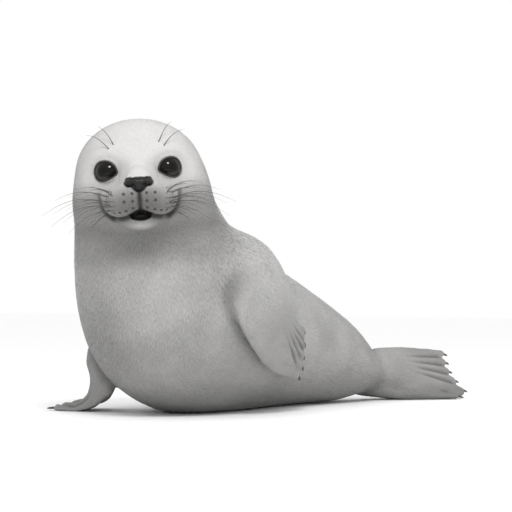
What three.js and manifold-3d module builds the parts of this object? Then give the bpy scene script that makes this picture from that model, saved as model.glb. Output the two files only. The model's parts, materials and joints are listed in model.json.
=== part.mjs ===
// A young harbor seal at rest on its belly, its head raised and turned to its left. Millimetres, +Z up.
// The tail points along +X and the seal's left side faces -Y. The animal stands on small flats at z = 0.
//
// The skin is one smooth field: a chain of ellipsoids along the spine, melted into the masses of the
// head and the shoulders. Every node of the body is a loft whose sections are cut out of that field, so
// neighbours share their outline and meet face to face.

import * as THREE from "three";
import { LoftGeometry } from "three/addons/geometries/LoftGeometry.js";
import { mergeVertices } from "three/addons/utils/BufferGeometryUtils.js";
import Module from "manifold-3d";

const wasm = await Module();
wasm.setup();

// ---------------------------------------------------------------- driving sizes

const GAP = 0.3; // between pieces that touch
const FACING = 220; // plan angle of the raised head, in degrees; the rump heads along 180

// Centre line of the trunk from the tail root to the inside of the head, with the half width and the half
// height of the body square to it, and the plan angle that it heads along.
const SPINE = [
  { at: [468, -50, 40], halfWidth: 36, halfHeight: 29, heading: 162 },
  { at: [405, -24, 61], halfWidth: 72, halfHeight: 64, heading: 168 },
  { at: [325, 0, 82], halfWidth: 98, halfHeight: 88, heading: 176 },
  { at: [240, 10, 98], halfWidth: 116, halfHeight: 107, heading: 182 },
  { at: [165, 10, 109], halfWidth: 125, halfHeight: 120, heading: 188 },
  { at: [98, 2, 128], halfWidth: 124, halfHeight: 126, heading: 196 },
  { at: [50, -12, 160], halfWidth: 114, halfHeight: 118, heading: 204 },
  { at: [17, -23, 202], halfWidth: 103, halfHeight: 106, heading: 212 },
  { at: [-7, -32, 240], halfWidth: 92, halfHeight: 90, heading: 217 },
  { at: [-20, -39, 272], halfWidth: 80, halfHeight: 74, heading: 220 },
  { at: [-33, -43, 298], halfWidth: 67, halfHeight: 58, heading: 220 },
];
const SPINE_STEPS = 72;
const TRUNK_COLUMNS = 34;
const LINK_LENGTH = 0.8; // half length of each ellipsoid of the chain, as a share of its smaller half girth
const SHOULDER = { share: 0.5, side: 92, up: 40, size: [70, 44, 62] };

// The head: its origin is the middle of the braincase. Places and sizes are forward, left, up.
const HEAD = { at: [-42, -46, 302], pitch: -4, roll: 4 };
const BRAINCASE = { at: [-17, 0, 8], size: [58, 76, 63] };
const CHEEK = { at: [0, 38, -26], size: [38, 41, 40] };
const BROW = { at: [20, 27, 20], size: [20, 20, 16] };
const EYE_HOLLOW = { at: [61, 38, 7], size: [22, 19, 18] };
const BRIDGE = { at: [52, 0, -9], size: [48, 23, 22] };
const LIP = { at: [48, 19, -33], size: [42, 25, 18] };
const PAD = { at: [80, 18, -28], size: [24, 23, 20] };
const CHIN = { at: [56, 0, -49], size: [37, 27, 18] };

// Widths over which neighbouring masses melt into each other.
const MELT = { shoulder: 40, skull: 20, snout: 9, snoutToSkull: 26, headToTrunk: 30, chin: 16, hollow: 20 };

const EYE = { at: [28.5, 34.5, 6], radius: 17.5, yaw: 29, pitch: 5 };
const LID = { ring: 15.8, thick: 4, out: 7.4, flatten: 0.94 };
const SOCKET_GAP = 0.35;

// The bare pad of the nose: a bar with two wings over a narrow foot, and the slits of the nostrils.
const NOSE = {
  masses: [
    { at: [94.5, 0, -5], size: [8.5, 12, 6] },
    { at: [91.5, 9, -4.8], size: [8.5, 8, 5.8] },
    { at: [95, 0, -11.5], size: [7.8, 8, 8] },
  ],
  nostril: { at: [100.5, 7.6, -8], size: [6, 1.5, 5], lean: 42 },
};

const EAR = { at: [-22, -4], radius: 2.4 }; // forward and up; the opening is a pit in the skin
const MOUTH_CORNER = { radius: 1.3, places: [[64, -49], [52, -47], [40, -43], [30, -37]] }; // forward, up

// Planes that part the head: the neck plane runs from nape to throat, the muzzle plane stands across.
const MUZZLE_PLANE = 60;
const PIVOT = { forward: 60, up: -94 }; // the neck plane passes through this line below the chin
const NECK_PLANE_ANGLE = 147;

// ---------------------------------------------------------------- small helpers

const vector = (p) => new THREE.Vector3(...p);
const SIDES = [1, -1]; // left and right
const radians = THREE.MathUtils.degToRad;
const mix = THREE.MathUtils.lerp;

// A flat direction at a plan angle, and the direction to the left of it.
const headingAt = (angle) => new THREE.Vector3(Math.cos(radians(angle)), Math.sin(radians(angle)), 0);
const leftOf = (angle) => headingAt(angle + 90);

// The smaller of two distances, rounded over a width where they are nearly equal.
function melt(a, b, width) {
  const near = Math.max(width - Math.abs(a - b), 0) / width;
  return Math.min(a, b) - (near * near * width) / 4;
}

// Distance to an ellipsoid whose axes are the columns of a frame, close enough near its surface.
function ellipsoid(centre, axes, size) {
  const [a, b, c] = axes;
  return (p) => {
    const x = p.x - centre.x;
    const y = p.y - centre.y;
    const z = p.z - centre.z;
    const u = (x * a.x + y * a.y + z * a.z) / size[0];
    const v = (x * b.x + y * b.y + z * b.z) / size[1];
    const w = (x * c.x + y * c.y + z * c.z) / size[2];
    const reach = Math.hypot(u, v, w);
    const slope = Math.hypot(u / size[0], v / size[1], w / size[2]);
    return slope > 0 ? (reach * (reach - 1)) / slope : -Math.min(...size);
  };
}

// ---------------------------------------------------------------- the trunk's line

const spineLine = new THREE.CatmullRomCurve3(SPINE.map((s) => vector(s.at)));
const spineGirth = new THREE.CatmullRomCurve3(
  SPINE.map((s) => new THREE.Vector3(s.halfWidth, s.halfHeight, s.heading)),
);

// The section frame at a share of the spine: its centre, and its left, up and forward axes.
function spineFrame(share) {
  const girth = spineGirth.getPoint(share);
  const forward = spineLine.getTangent(share);
  const left = leftOf(girth.z);
  left.addScaledVector(forward, -left.dot(forward)).normalize();
  const up = new THREE.Vector3().crossVectors(forward, left);
  return { centre: spineLine.getPoint(share), left, up, forward, halfWidth: girth.x, halfHeight: girth.y };
}

const trunkChain = Array.from({ length: SPINE_STEPS + 1 }, (_, i) => {
  const f = spineFrame(i / SPINE_STEPS);
  const along = LINK_LENGTH * Math.min(f.halfWidth, f.halfHeight);
  return ellipsoid(f.centre, [f.forward, f.left, f.up], [along, f.halfWidth, f.halfHeight]);
});

// ---------------------------------------------------------------- the head's frame

const headForward = headingAt(FACING)
  .multiplyScalar(Math.cos(radians(HEAD.pitch)))
  .add(new THREE.Vector3(0, 0, Math.sin(radians(HEAD.pitch))));
const headLeft = leftOf(FACING).applyAxisAngle(headForward, radians(HEAD.roll));
const headUp = new THREE.Vector3().crossVectors(headForward, headLeft);
const headAxes = [headForward, headLeft, headUp];

// A point given forward, left and up of the braincase, in the part's frame.
function onHead(forward, left, up) {
  return vector(HEAD.at)
    .addScaledVector(headForward, forward)
    .addScaledVector(headLeft, left)
    .addScaledVector(headUp, up);
}

// The ellipsoids of a head mass, one, or two where it has a place to the side.
function headMass({ at, size }) {
  const sides = at[1] === 0 ? [1] : SIDES;
  return sides.map((side) => ellipsoid(onHead(at[0], side * at[1], at[2]), headAxes, size));
}

const skull = [...headMass(BRAINCASE), ...headMass(CHEEK), ...headMass(BROW)];
const snout = [...headMass(BRIDGE), ...headMass(LIP), ...headMass(PAD)];
const [chinField] = headMass(CHIN);
const hollows = headMass(EYE_HOLLOW);

const shoulders = SIDES.map((side) => {
  const f = spineFrame(SHOULDER.share);
  const centre = f.centre
    .clone()
    .addScaledVector(f.left, side * SHOULDER.side)
    .addScaledVector(f.up, SHOULDER.up);
  return ellipsoid(centre, [f.forward, f.left, f.up], SHOULDER.size);
});

// ---------------------------------------------------------------- the fields

function trunkField(p) {
  let d = Infinity;
  for (const link of trunkChain) d = Math.min(d, link(p));
  for (const mass of shoulders) d = melt(d, mass(p), MELT.shoulder);
  return d;
}

function upperHeadField(p) {
  let head = Infinity;
  for (const mass of skull) head = melt(head, mass(p), MELT.skull);
  let front = Infinity;
  for (const mass of snout) front = melt(front, mass(p), MELT.snout);
  return melt(head, front, MELT.snoutToSkull);
}

// The skin less the hollows in front of the eyes.
function hollowed(d, p) {
  for (const mass of hollows) d = -melt(-d, mass(p), MELT.hollow);
  return d;
}

// The whole skin, and the upper head with no chin, for the muzzle.
function skinField(p) {
  const upper = melt(trunkField(p), upperHeadField(p), MELT.headToTrunk);
  return hollowed(melt(upper, chinField(p), MELT.chin), p);
}

const muzzleField = (p) => hollowed(upperHeadField(p), p);

// ---------------------------------------------------------------- sections and lofts

// How far the field reaches from an inner point along a direction, out to a level above its surface.
function reach(field, from, direction, level, farthest = Infinity) {
  const STEP = 6;
  const HALVINGS = 16;
  const p = new THREE.Vector3();
  const value = (r) => field(p.copy(from).addScaledVector(direction, r)) - level;
  let inside = 0;
  let outside = STEP;
  while (value(outside) < 0) {
    if (outside > farthest) return farthest;
    inside = outside;
    outside += STEP;
  }
  for (let i = 0; i < HALVINGS; i++) {
    const middle = (inside + outside) / 2;
    if (value(middle) < 0) inside = middle;
    else outside = middle;
  }
  return inside;
}

// The outline of the skin in the plane of a frame.
function section(frame, level) {
  return Array.from({ length: TRUNK_COLUMNS }, (_, i) => {
    const angle = (i / TRUNK_COLUMNS) * 2 * Math.PI;
    const direction = new THREE.Vector3()
      .addScaledVector(frame.left, Math.cos(angle))
      .addScaledVector(frame.up, Math.sin(angle));
    return frame.centre.clone().addScaledVector(direction, reach(skinField, frame.centre, direction, level));
  });
}

// A closed mesh with shared vertices as a solid, facing out whatever way its sections wind.
function solid(geometry) {
  const bare = new THREE.BufferGeometry().setAttribute("position", geometry.getAttribute("position"));
  if (geometry.index) bare.setIndex(geometry.index);
  const merged = mergeVertices(bare, 1e-3);
  const triVerts = [];
  const index = merged.index.array;
  for (let i = 0; i < index.length; i += 3) {
    const [a, b, c] = [index[i], index[i + 1], index[i + 2]];
    if (a !== b && b !== c && a !== c) triVerts.push(a, b, c);
  }
  const make = (triangles) =>
    new wasm.Manifold(
      new wasm.Mesh({
        numProp: 3,
        vertProperties: new Float32Array(merged.attributes.position.array),
        triVerts: new Uint32Array(triangles),
      }),
    );
  const made = make(triVerts);
  if (made.volume() > 0) return made;
  const turned = [];
  for (let i = 0; i < triVerts.length; i += 3) turned.push(triVerts[i], triVerts[i + 2], triVerts[i + 1]);
  return make(turned);
}

// All that lies on the far side of a plane: a large box that stands off it by a distance.
function beyond(point, normal, distance = 0) {
  const SIDE = 1600;
  const turn = new THREE.Quaternion().setFromUnitVectors(new THREE.Vector3(0, 0, 1), normal);
  const centre = point.clone().addScaledVector(normal, distance + SIDE / 2);
  const place = new THREE.Matrix4().compose(centre, turn, new THREE.Vector3(1, 1, 1));
  return solid(new THREE.BoxGeometry(SIDE, SIDE, SIDE).applyMatrix4(place));
}

const union = (pieces) => wasm.Manifold.union(pieces);
const largest = (made) => made.decompose().sort((a, b) => b.volume() - a.volume())[0];

function loft(sections) {
  return solid(new LoftGeometry(sections, { capStart: true, capEnd: true }));
}

function shifted(frame, distance) {
  const normal = new THREE.Vector3().crossVectors(frame.left, frame.up);
  return { ...frame, centre: frame.centre.clone().addScaledVector(normal, distance) };
}

// A body node: a loft through frames that run from tail to nose, drawn in by half the gap at each end.
function bodyNode(frames) {
  const inwards = { 0: GAP / 2, [frames.length - 1]: -GAP / 2 };
  return loft(frames.map((f, i) => section(shifted(f, inwards[i] ?? 0), 0)));
}

// The same stretch grown by the gap, and whole at its ends, to cut clear what grows out of the body.
const grownNode = (frames) => loft(frames.map((f) => section(f, GAP)));

function spineFrames(from, to, count) {
  return Array.from({ length: count + 1 }, (_, i) => spineFrame(mix(from, to, i / count)));
}

// A section plane through the pivot line: its angle, and how far out its centre lies.
function pivotFrame(angle, out) {
  const up = new THREE.Vector3()
    .addScaledVector(headForward, Math.cos(radians(angle)))
    .addScaledVector(headUp, Math.sin(radians(angle)));
  return { centre: onHead(PIVOT.forward, 0, PIVOT.up).addScaledVector(up, out), left: headLeft, up };
}

// Frames between two, turned and moved evenly.
function framesBetween(a, b, count) {
  return Array.from({ length: count + 1 }, (_, i) => {
    const t = i / count;
    const left = a.left.clone().lerp(b.left, t).normalize();
    const up = a.up.clone().lerp(b.up, t);
    up.addScaledVector(left, -up.dot(left)).normalize();
    return { centre: a.centre.clone().lerp(b.centre, t), left, up };
  });
}

const NECK_OUT = 106;
const neckPlane = pivotFrame(NECK_PLANE_ANGLE, NECK_OUT);

// Sections that round off the rump behind the start of the spine.
const rumpEnd = [0.92, 0.75, 0.5].map((share) => {
  const start = spineFrame(0);
  const length = reach(trunkField, start.centre, start.forward.clone().negate(), 0);
  return shifted(start, -length * Math.sin((share * Math.PI) / 2));
});

// The stretches of the trunk, each a node of its own.
const trunkSpans = {
  rump: [...rumpEnd, ...spineFrames(0, 0.2, 6)],
  belly: spineFrames(0.2, 0.37, 6),
  thorax: spineFrames(0.37, 0.53, 6),
  chest: spineFrames(0.53, 0.7, 7),
  neck: framesBetween(spineFrame(0.7), neckPlane, 7),
};

// A solid of rays from an inner point, with rings about the head's own axis from the back round to the
// front, closer together at the front. Rays that leave the head for the trunk stop at the farthest reach.
const HEAD_COLUMNS = 48;
const HEAD_RINGS = 28;
const HEAD_CORE = [18, 0, -20];
const HEAD_REACH = 190;
const TOWARDS_FRONT = 0.8;

function rayDirection(polar, around) {
  return new THREE.Vector3()
    .addScaledVector(headForward, Math.cos(polar))
    .addScaledVector(headLeft, Math.sin(polar) * Math.cos(around))
    .addScaledVector(headUp, Math.sin(polar) * Math.sin(around));
}

function rays(field, centre, polars, columns, level = 0) {
  return polars.map((polar) =>
    Array.from({ length: columns }, (_, j) => {
      const direction = rayDirection(radians(polar), (j / columns) * 2 * Math.PI);
      return centre.clone().addScaledVector(direction, reach(field, centre, direction, level, HEAD_REACH));
    }),
  );
}

const headPolars = Array.from(
  { length: HEAD_RINGS },
  (_, i) => 180 * (1 - (i / (HEAD_RINGS - 1)) ** TOWARDS_FRONT),
);
const headStar = solid(new LoftGeometry(rays(skinField, onHead(...HEAD_CORE), headPolars, HEAD_COLUMNS)));
const neckNormal = new THREE.Vector3().crossVectors(neckPlane.left, neckPlane.up);
const head = headStar
  .subtract(beyond(neckPlane.centre, neckNormal.clone().negate(), -GAP / 2))
  .subtract(beyond(onHead(MUZZLE_PLANE, 0, 0), headForward, -GAP / 2));

// A dome in front of the muzzle plane: rings of rays from a point on it, from the plane round to the front,
// where the last ring is one point.
function dome(field, up, rings, columns, level = 0) {
  const centre = onHead(MUZZLE_PLANE + (level > 0 ? 0 : GAP / 2), 0, up);
  const polars = Array.from({ length: rings }, (_, i) => mix(90, 0, i / (rings - 1)));
  return solid(new LoftGeometry(rays(field, centre, polars, columns, level), { capStart: true }));
}

const MUZZLE_MIDDLE = -24;
const MUZZLE_RINGS = 12;
const MUZZLE_COLUMNS = 40;
const JAW_RINGS = 8;
const JAW_COLUMNS = 26;
const MOUTH_GAP = 1.4;
const muzzleDome = (level) => dome(muzzleField, MUZZLE_MIDDLE, MUZZLE_RINGS, MUZZLE_COLUMNS, level);
const jawDome = dome(chinField, CHIN.at[2], JAW_RINGS, JAW_COLUMNS);

// ---------------------------------------------------------------- details of the head

// A round strand along a curve, its radius given over its length: whiskers, claws, folds and the tail.
function strand(points, radiusAt, rings, columns, flatten = 1) {
  const curve = new THREE.CatmullRomCurve3(points);
  const frames = curve.computeFrenetFrames(rings - 1, false);
  return loft(
    Array.from({ length: rings }, (_, i) => {
      const t = i / (rings - 1);
      return Array.from({ length: columns }, (_, j) => {
        const around = (j / columns) * 2 * Math.PI;
        return curve
          .getPointAt(t)
          .addScaledVector(frames.normals[i], radiusAt(t) * Math.cos(around))
          .addScaledVector(frames.binormals[i], radiusAt(t) * Math.sin(around) * flatten);
      });
    }),
  );
}

// An ellipsoid with its own axes as a solid; the axes are the head's unless others are given.
function ball(centre, size, axes = headAxes, columns = 14) {
  const geometry = new THREE.SphereGeometry(1, columns, Math.round(columns * 0.7));
  const turn = new THREE.Matrix4().makeBasis(...axes).scale(vector(size));
  return solid(geometry.applyMatrix4(turn.setPosition(centre)));
}

const bySide = (place, side) => onHead(place[0], side * place[1], place[2]);

function eyeAxes(side) {
  const look = new THREE.Vector3()
    .addScaledVector(headForward, Math.cos(radians(EYE.yaw)) * Math.cos(radians(EYE.pitch)))
    .addScaledVector(headLeft, side * Math.sin(radians(EYE.yaw)) * Math.cos(radians(EYE.pitch)))
    .addScaledVector(headUp, Math.sin(radians(EYE.pitch)));
  const across = new THREE.Vector3().crossVectors(headUp, look).normalize();
  return [across, new THREE.Vector3().crossVectors(look, across), look];
}

const eyeball = (side, radius) => ball(bySide(EYE.at, side), [radius, radius, radius], eyeAxes(side), 18);

function lid(side) {
  const axes = eyeAxes(side);
  const place = new THREE.Matrix4()
    .makeBasis(...axes)
    .scale(new THREE.Vector3(1, LID.flatten, 1))
    .setPosition(bySide(EYE.at, side).addScaledVector(axes[2], LID.out));
  return solid(new THREE.TorusGeometry(LID.ring, LID.thick, 8, 32).applyMatrix4(place));
}

// A place on the side of the face, found from the head's middle plane outwards.
function onFace(forward, up, side) {
  const middle = onHead(forward, 0, up);
  const out = headLeft.clone().multiplyScalar(side);
  return middle.clone().addScaledVector(out, reach(skinField, middle, out, 0));
}

const mouthCorner = (side) =>
  strand(
    MOUTH_CORNER.places.map(([forward, up]) => onFace(forward, up, side)),
    (t) => MOUTH_CORNER.radius * mix(1, 0.5, t),
    7,
    6,
  );

const ear = (side) => ball(onFace(...EAR.at, side), [EAR.radius, EAR.radius, EAR.radius], headAxes, 8);

// Whiskers stand in three rows on each pad, longer towards the cheek: a yaw out from the front, a pitch up
// from the pad's middle, a length, and the pitch that the whisker takes. They sweep back towards the side.
const WHISKER = { root: 0.75, tip: 0.28, sunk: 4 };
const WHISKER_ROWS = [
  { pitch: 22, rise: 16, yaws: [38, 56, 74, 92], lengths: [21, 30, 42, 50] },
  { pitch: 4, rise: -4, yaws: [30, 47, 64, 81, 98], lengths: [19, 29, 40, 51, 59] },
  { pitch: -15, rise: -26, yaws: [26, 43, 60, 77, 94], lengths: [16, 24, 34, 43, 50] },
];
const PAD_MIDDLE = [74, 15, -28];
const PAD_SWEEP = { yaw: 88, share: 0.6, bow: 0.22, sag: 0.16 };

function aim(yaw, pitch, side) {
  return new THREE.Vector3()
    .addScaledVector(headForward, Math.cos(radians(yaw)) * Math.cos(radians(pitch)))
    .addScaledVector(headLeft, side * Math.sin(radians(yaw)) * Math.cos(radians(pitch)))
    .addScaledVector(headUp, Math.sin(radians(pitch)));
}

function whisker(root, out, heading, length, { bow, sag }) {
  const start = root.clone().addScaledVector(out, -WHISKER.sunk);
  const points = [0, 0.35, 0.7, 1].map((t) =>
    root
      .clone()
      .addScaledVector(out, length * bow * Math.min(t * 2, 1))
      .addScaledVector(heading, length * t)
      .addScaledVector(headUp, -sag * length * t * t),
  );
  return strand([start, ...points], (t) => mix(WHISKER.root, WHISKER.tip, t), 5, 3);
}

function padWhiskers(side) {
  const middle = bySide(PAD_MIDDLE, side);
  return WHISKER_ROWS.flatMap(({ pitch, rise, yaws, lengths }) =>
    yaws.map((yaw, i) => {
      const out = aim(yaw, pitch, side);
      const root = middle.clone().addScaledVector(out, reach(muzzleField, middle, out, 0));
      const heading = aim(mix(yaw, PAD_SWEEP.yaw, PAD_SWEEP.share), rise, side);
      return whisker(root, out, heading, lengths[i], PAD_SWEEP);
    }),
  );
}

// Two whiskers over each eye, which rise and lean outwards.
const BROW_BEND = { bow: 0.08, sag: 0.1 };
const BROW_WHISKERS = [
  { at: [20, 20, 22], out: [12, 31], yaw: 40, pitch: 66, length: 34 },
  { at: [20, 27, 20], out: [20, 28], yaw: 62, pitch: 54, length: 36 },
];

function browWhiskers(side) {
  return BROW_WHISKERS.map(({ at, out, yaw, pitch, length }) => {
    const inside = bySide(at, side);
    const outwards = aim(...out, side);
    const root = inside.clone().addScaledVector(outwards, reach(skinField, inside, outwards, 0));
    return whisker(root, outwards, aim(yaw, pitch, side), length, BROW_BEND);
  });
}

function nosePad(grow) {
  const pieces = NOSE.masses.flatMap(({ at, size }) => {
    const sides = at[1] === 0 ? [1] : SIDES;
    return sides.map((side) => ball(bySide(at, side), size.map((s) => s + grow), headAxes, 12));
  });
  return union(pieces);
}

function nostril(side) {
  const lean = radians(-side * NOSE.nostril.lean);
  const axes = [headForward, ...[headLeft, headUp].map((a) => a.clone().applyAxisAngle(headForward, lean))];
  return ball(bySide(NOSE.nostril.at, side), NOSE.nostril.size, axes, 8);
}

const headWhole = largest(
  union([head, ...SIDES.map(lid), ...SIDES.flatMap(browWhiskers)]).subtract(
    union([
      ...SIDES.map((side) => eyeball(side, EYE.radius + SOCKET_GAP)),
      ...SIDES.map(mouthCorner),
      ...SIDES.map(ear),
    ]),
  ),
);
const muzzle = largest(union([muzzleDome(0), ...SIDES.flatMap(padWhiskers)]).subtract(nosePad(GAP)));
const jaw = largest(jawDome.subtract(muzzleDome(MOUTH_GAP)));
const nose = largest(nosePad(0).subtract(union(SIDES.map(nostril))));

// ---------------------------------------------------------------- flippers

const DIGITS = 5;
const WEB_NOTCH = 5; // how far the web between two digits lies behind their ends
const EDGE = { from: 0.8, rounding: 7.8 }; // where the outer digits begin to round off, and by how much

// A place across a flipper, from -1 to 1 at its leading edge, counted in digits.
const inDigits = (across) => ((across + 1) / 2) * DIGITS;

// How far the end of a flipper reaches at a place across it: five digits with webs between.
function digitReach(digits, across) {
  const place = THREE.MathUtils.clamp(inDigits(across) - 0.5, 0, DIGITS - 1);
  const digit = Math.min(Math.floor(place), DIGITS - 2);
  const between = place - digit;
  const round = Math.max(Math.abs(across) - EDGE.from, 0) / (1 - EDGE.from);
  return (
    mix(digits[digit], digits[digit + 1], between) -
    WEB_NOTCH * Math.sin(between * Math.PI) ** 2 -
    EDGE.rounding * round * round
  );
}

// The frame of a flipper at a share of its length: T runs to the tip, N faces out, W lies across.
function flipperFrame(flipper, share) {
  const at = flipper.line.getPoint(share);
  const tangent = flipper.line.getTangent(share);
  const out = flipper.faces.getPoint(share);
  out.addScaledVector(tangent, -out.dot(tangent)).normalize();
  const across = new THREE.Vector3().crossVectors(out, tangent).multiplyScalar(flipper.leading);
  return { at, tangent, out, across, size: flipper.sizes.getPoint(share) };
}

const DIGITS_FROM = 0.5; // share of the flipper's length where the digits begin to part
const RIDGE = 0.3; // how far a digit stands over the web, as a share of the flipper's thickness
const SQUARENESS = 2.6; // of a section across the flipper: 2 would be an ellipse
const TIP = { from: 0.75, squareness: 2.2 }; // where the flipper begins to thin to its end, and how late

// A point on the flipper: share along it, place across it, side 1 or -1, and how far off its skin.
function onFlipper(flipper, share, place, side, grow) {
  const f = flipperFrame(flipper, share);
  const spread = THREE.MathUtils.smoothstep(share, DIGITS_FROM, 1);
  const rounded = Math.sqrt(Math.max(1 - Math.abs(place) ** SQUARENESS, 0));
  const ridges = 1 - RIDGE * spread * Math.cos(inDigits(place) * 2 * Math.PI);
  const past = Math.max(share - TIP.from, 0) / (1 - TIP.from);
  const ending = Math.sqrt(Math.max(1 - past ** TIP.squareness, 0));
  const thick = share < 1 ? f.size.y * rounded * ridges * ending + grow : 0;
  return f.at
    .addScaledVector(f.across, place * (f.size.x + grow))
    .addScaledVector(f.tangent, spread * (digitReach(flipper.digits, place) + grow))
    .addScaledVector(f.out, side * thick);
}

function makeFlipper(spec) {
  const sizes = spec.stations.map((s) => new THREE.Vector3(s.halfWidth, s.halfThick, 0));
  return {
    ...spec,
    line: new THREE.CatmullRomCurve3(spec.stations.map((s) => s.at)),
    faces: new THREE.CatmullRomCurve3(spec.stations.map((s) => s.face)),
    sizes: new THREE.CatmullRomCurve3(sizes),
  };
}

const FLIPPER_ROWS = 11;
const FLIPPER_COLUMNS = 20;
const TOWARDS_TIP = 1.5;

// The flipper as a loft from its root to a tip where both faces meet, its rows closer together at the tip.
function flipperSolid(flipper, grow = 0) {
  const places = Array.from({ length: FLIPPER_COLUMNS + 1 }, (_, j) => (2 * j) / FLIPPER_COLUMNS - 1);
  const sections = Array.from({ length: FLIPPER_ROWS + 1 }, (_, i) => {
    const share = 1 - (1 - i / FLIPPER_ROWS) ** TOWARDS_TIP;
    const top = places.map((place) => onFlipper(flipper, share, place, 1, grow));
    const sole = places.slice(1, -1).map((place) => onFlipper(flipper, share, place, -1, grow));
    const points = [...top, ...sole.reverse()];
    return flipper.leading > 0 ? points.reverse() : points;
  });
  return solid(new LoftGeometry(sections, { capStart: true }));
}

// A place on the trunk's side: share of the spine, angle up from its left side, and how far off the skin.
function onFlank(share, angle, lift) {
  const f = spineFrame(share);
  const direction = new THREE.Vector3()
    .addScaledVector(f.left, Math.cos(radians(angle)))
    .addScaledVector(f.up, Math.sin(radians(angle)));
  const r = reach(trunkField, f.centre, direction, 0);
  const face = slopeOf(trunkField, f.centre.clone().addScaledVector(direction, r));
  return { at: f.centre.addScaledVector(direction, r).addScaledVector(face, lift), face };
}

function slopeOf(field, p) {
  const D = 1;
  const along = (axis) => {
    const q = p.clone();
    q[axis] += D;
    const ahead = field(q);
    q[axis] -= 2 * D;
    return ahead - field(q);
  };
  return new THREE.Vector3(along("x"), along("y"), along("z")).normalize();
}

const FORE_DIGITS = [-10, 4, 14, 21, 23];
const HIND_DIGITS = [18, 11, 8, 11, 17];

const foreLeft = makeFlipper({
  leading: -1,
  digits: FORE_DIGITS,
  stations: [
    { ...onFlank(0.69, -6, -34), halfWidth: 42, halfThick: 18 },
    { ...onFlank(0.65, -8, -6), halfWidth: 44, halfThick: 15 },
    { ...onFlank(0.57, -10, 11), halfWidth: 43, halfThick: 11 },
    { ...onFlank(0.46, -10, 15), halfWidth: 39, halfThick: 8.5 },
    { ...onFlank(0.36, -12, 15), halfWidth: 34, halfThick: 6 },
  ],
});

const foreRight = makeFlipper({
  leading: 1,
  digits: FORE_DIGITS,
  stations: [
    { at: vector([64, 66, 128]), face: vector([-0.85, -0.2, 0.3]), halfWidth: 32, halfThick: 18 },
    { at: vector([62, 87, 86]), face: vector([-0.85, -0.2, 0.35]), halfWidth: 36, halfThick: 15 },
    { at: vector([67, 113, 44]), face: vector([-0.75, -0.15, 0.6]), halfWidth: 38, halfThick: 11 },
    { at: vector([79, 135, 12]), face: vector([-0.2, 0, 1]), halfWidth: 39, halfThick: 8.5 },
    { at: vector([75, 156, 5.5]), face: vector([0, 0, 1]), halfWidth: 38, halfThick: 6 },
  ],
});

const hindLeft = makeFlipper({
  leading: 1,
  digits: HIND_DIGITS,
  stations: [
    { at: vector([446, -46, 50]), face: vector([-0.3, -0.75, 0.5]), halfWidth: 25, halfThick: 15 },
    { at: vector([482, -66, 50]), face: vector([-0.35, -0.7, 0.55]), halfWidth: 30, halfThick: 13 },
    { at: vector([520, -82, 48]), face: vector([-0.4, -0.65, 0.62]), halfWidth: 36, halfThick: 9 },
    { at: vector([560, -97, 43]), face: vector([-0.4, -0.6, 0.68]), halfWidth: 42, halfThick: 7 },
    { at: vector([596, -111, 39]), face: vector([-0.4, -0.58, 0.7]), halfWidth: 46, halfThick: 5 },
  ],
});

const hindRight = makeFlipper({
  leading: -1,
  digits: HIND_DIGITS,
  stations: [
    { at: vector([444, -34, 26]), face: vector([0.1, 0.2, 1]), halfWidth: 25, halfThick: 15 },
    { at: vector([480, -48, 17]), face: vector([0.05, 0.1, 1]), halfWidth: 27, halfThick: 12 },
    { at: vector([514, -68, 9]), face: vector([0, 0, 1]), halfWidth: 29, halfThick: 9 },
    { at: vector([546, -90, 6]), face: vector([0, 0, 1]), halfWidth: 34, halfThick: 7 },
    { at: vector([576, -112, 4.5]), face: vector([0, 0, 1]), halfWidth: 43, halfThick: 5 },
  ],
});

const flippers = {
  fore_flipper_left: foreLeft,
  fore_flipper_right: foreRight,
  hind_flipper_left: hindLeft,
  hind_flipper_right: hindRight,
};

// ---------------------------------------------------------------- claws and tail

const FORE_CLAW = { base: 2.7, tip: 0.6, sunk: 8, length: 12, droop: 5 };
const HIND_CLAW = { base: 2.3, tip: 0.6, sunk: 7, length: 8, droop: 2.5 };
const CLAW_LIFT = 0.8; // a claw lies nearer the top of its digit
const CLAW_TAPER = 0.3; // share of its length where a claw begins to taper
const CLAW_CLEAR = 0.4; // between a claw and the floor

// The claw of a digit, counted from 1 at the leading edge: it lies in the digit's end and bends to the sole.
function claw(flipper, digit, size, grow) {
  const place = ((DIGITS - digit + 0.5) / DIGITS) * 2 - 1;
  const f = flipperFrame(flipper, 1);
  const end = onFlipper(flipper, 0.999, place, 0, 0);
  const heading = end.clone().sub(onFlipper(flipper, 0.9, place, 0, 0)).normalize();
  const path = [-size.sunk - grow, 0, size.length / 2, size.length].map((along) => {
    const bent = Math.max(along / size.length, 0) ** 2;
    return end
      .clone()
      .addScaledVector(heading, along)
      .addScaledVector(f.out, CLAW_LIFT - size.droop * bent);
  });
  for (const p of path) p.z = Math.max(p.z, size.base + CLAW_CLEAR);
  const radiusAt = (t) => mix(size.base, size.tip, Math.max(t - CLAW_TAPER, 0) / (1 - CLAW_TAPER)) + grow;
  return strand(path, radiusAt, 5, 6);
}

const TAIL = [
  { at: [466, -30, 50], radius: 14 },
  { at: [496, -37, 52], radius: 15 },
  { at: [522, -43, 49], radius: 13 },
  { at: [543, -49, 44], radius: 7 },
];
const TAIL_FLATTEN = 0.62;
const tailGirth = new THREE.CatmullRomCurve3(TAIL.map((s) => new THREE.Vector3(s.radius, 0, 0)));
const tailPath = TAIL.map((s) => vector(s.at));
const tailWhole = strand(tailPath, (t) => tailGirth.getPointAt(t).x, 8, 14, TAIL_FLATTEN);

// ---------------------------------------------------------------- assembly

const underFloor = beyond(new THREE.Vector3(), new THREE.Vector3(0, 0, -1));

const BODY = 0xa9abad;
const FACE = 0xc4c5c6;
const FLIPPER = 0x7d7f82;
const DARK = 0x17161a;
const HORN = 0x2c2826;
const seal = new THREE.Group();

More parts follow.
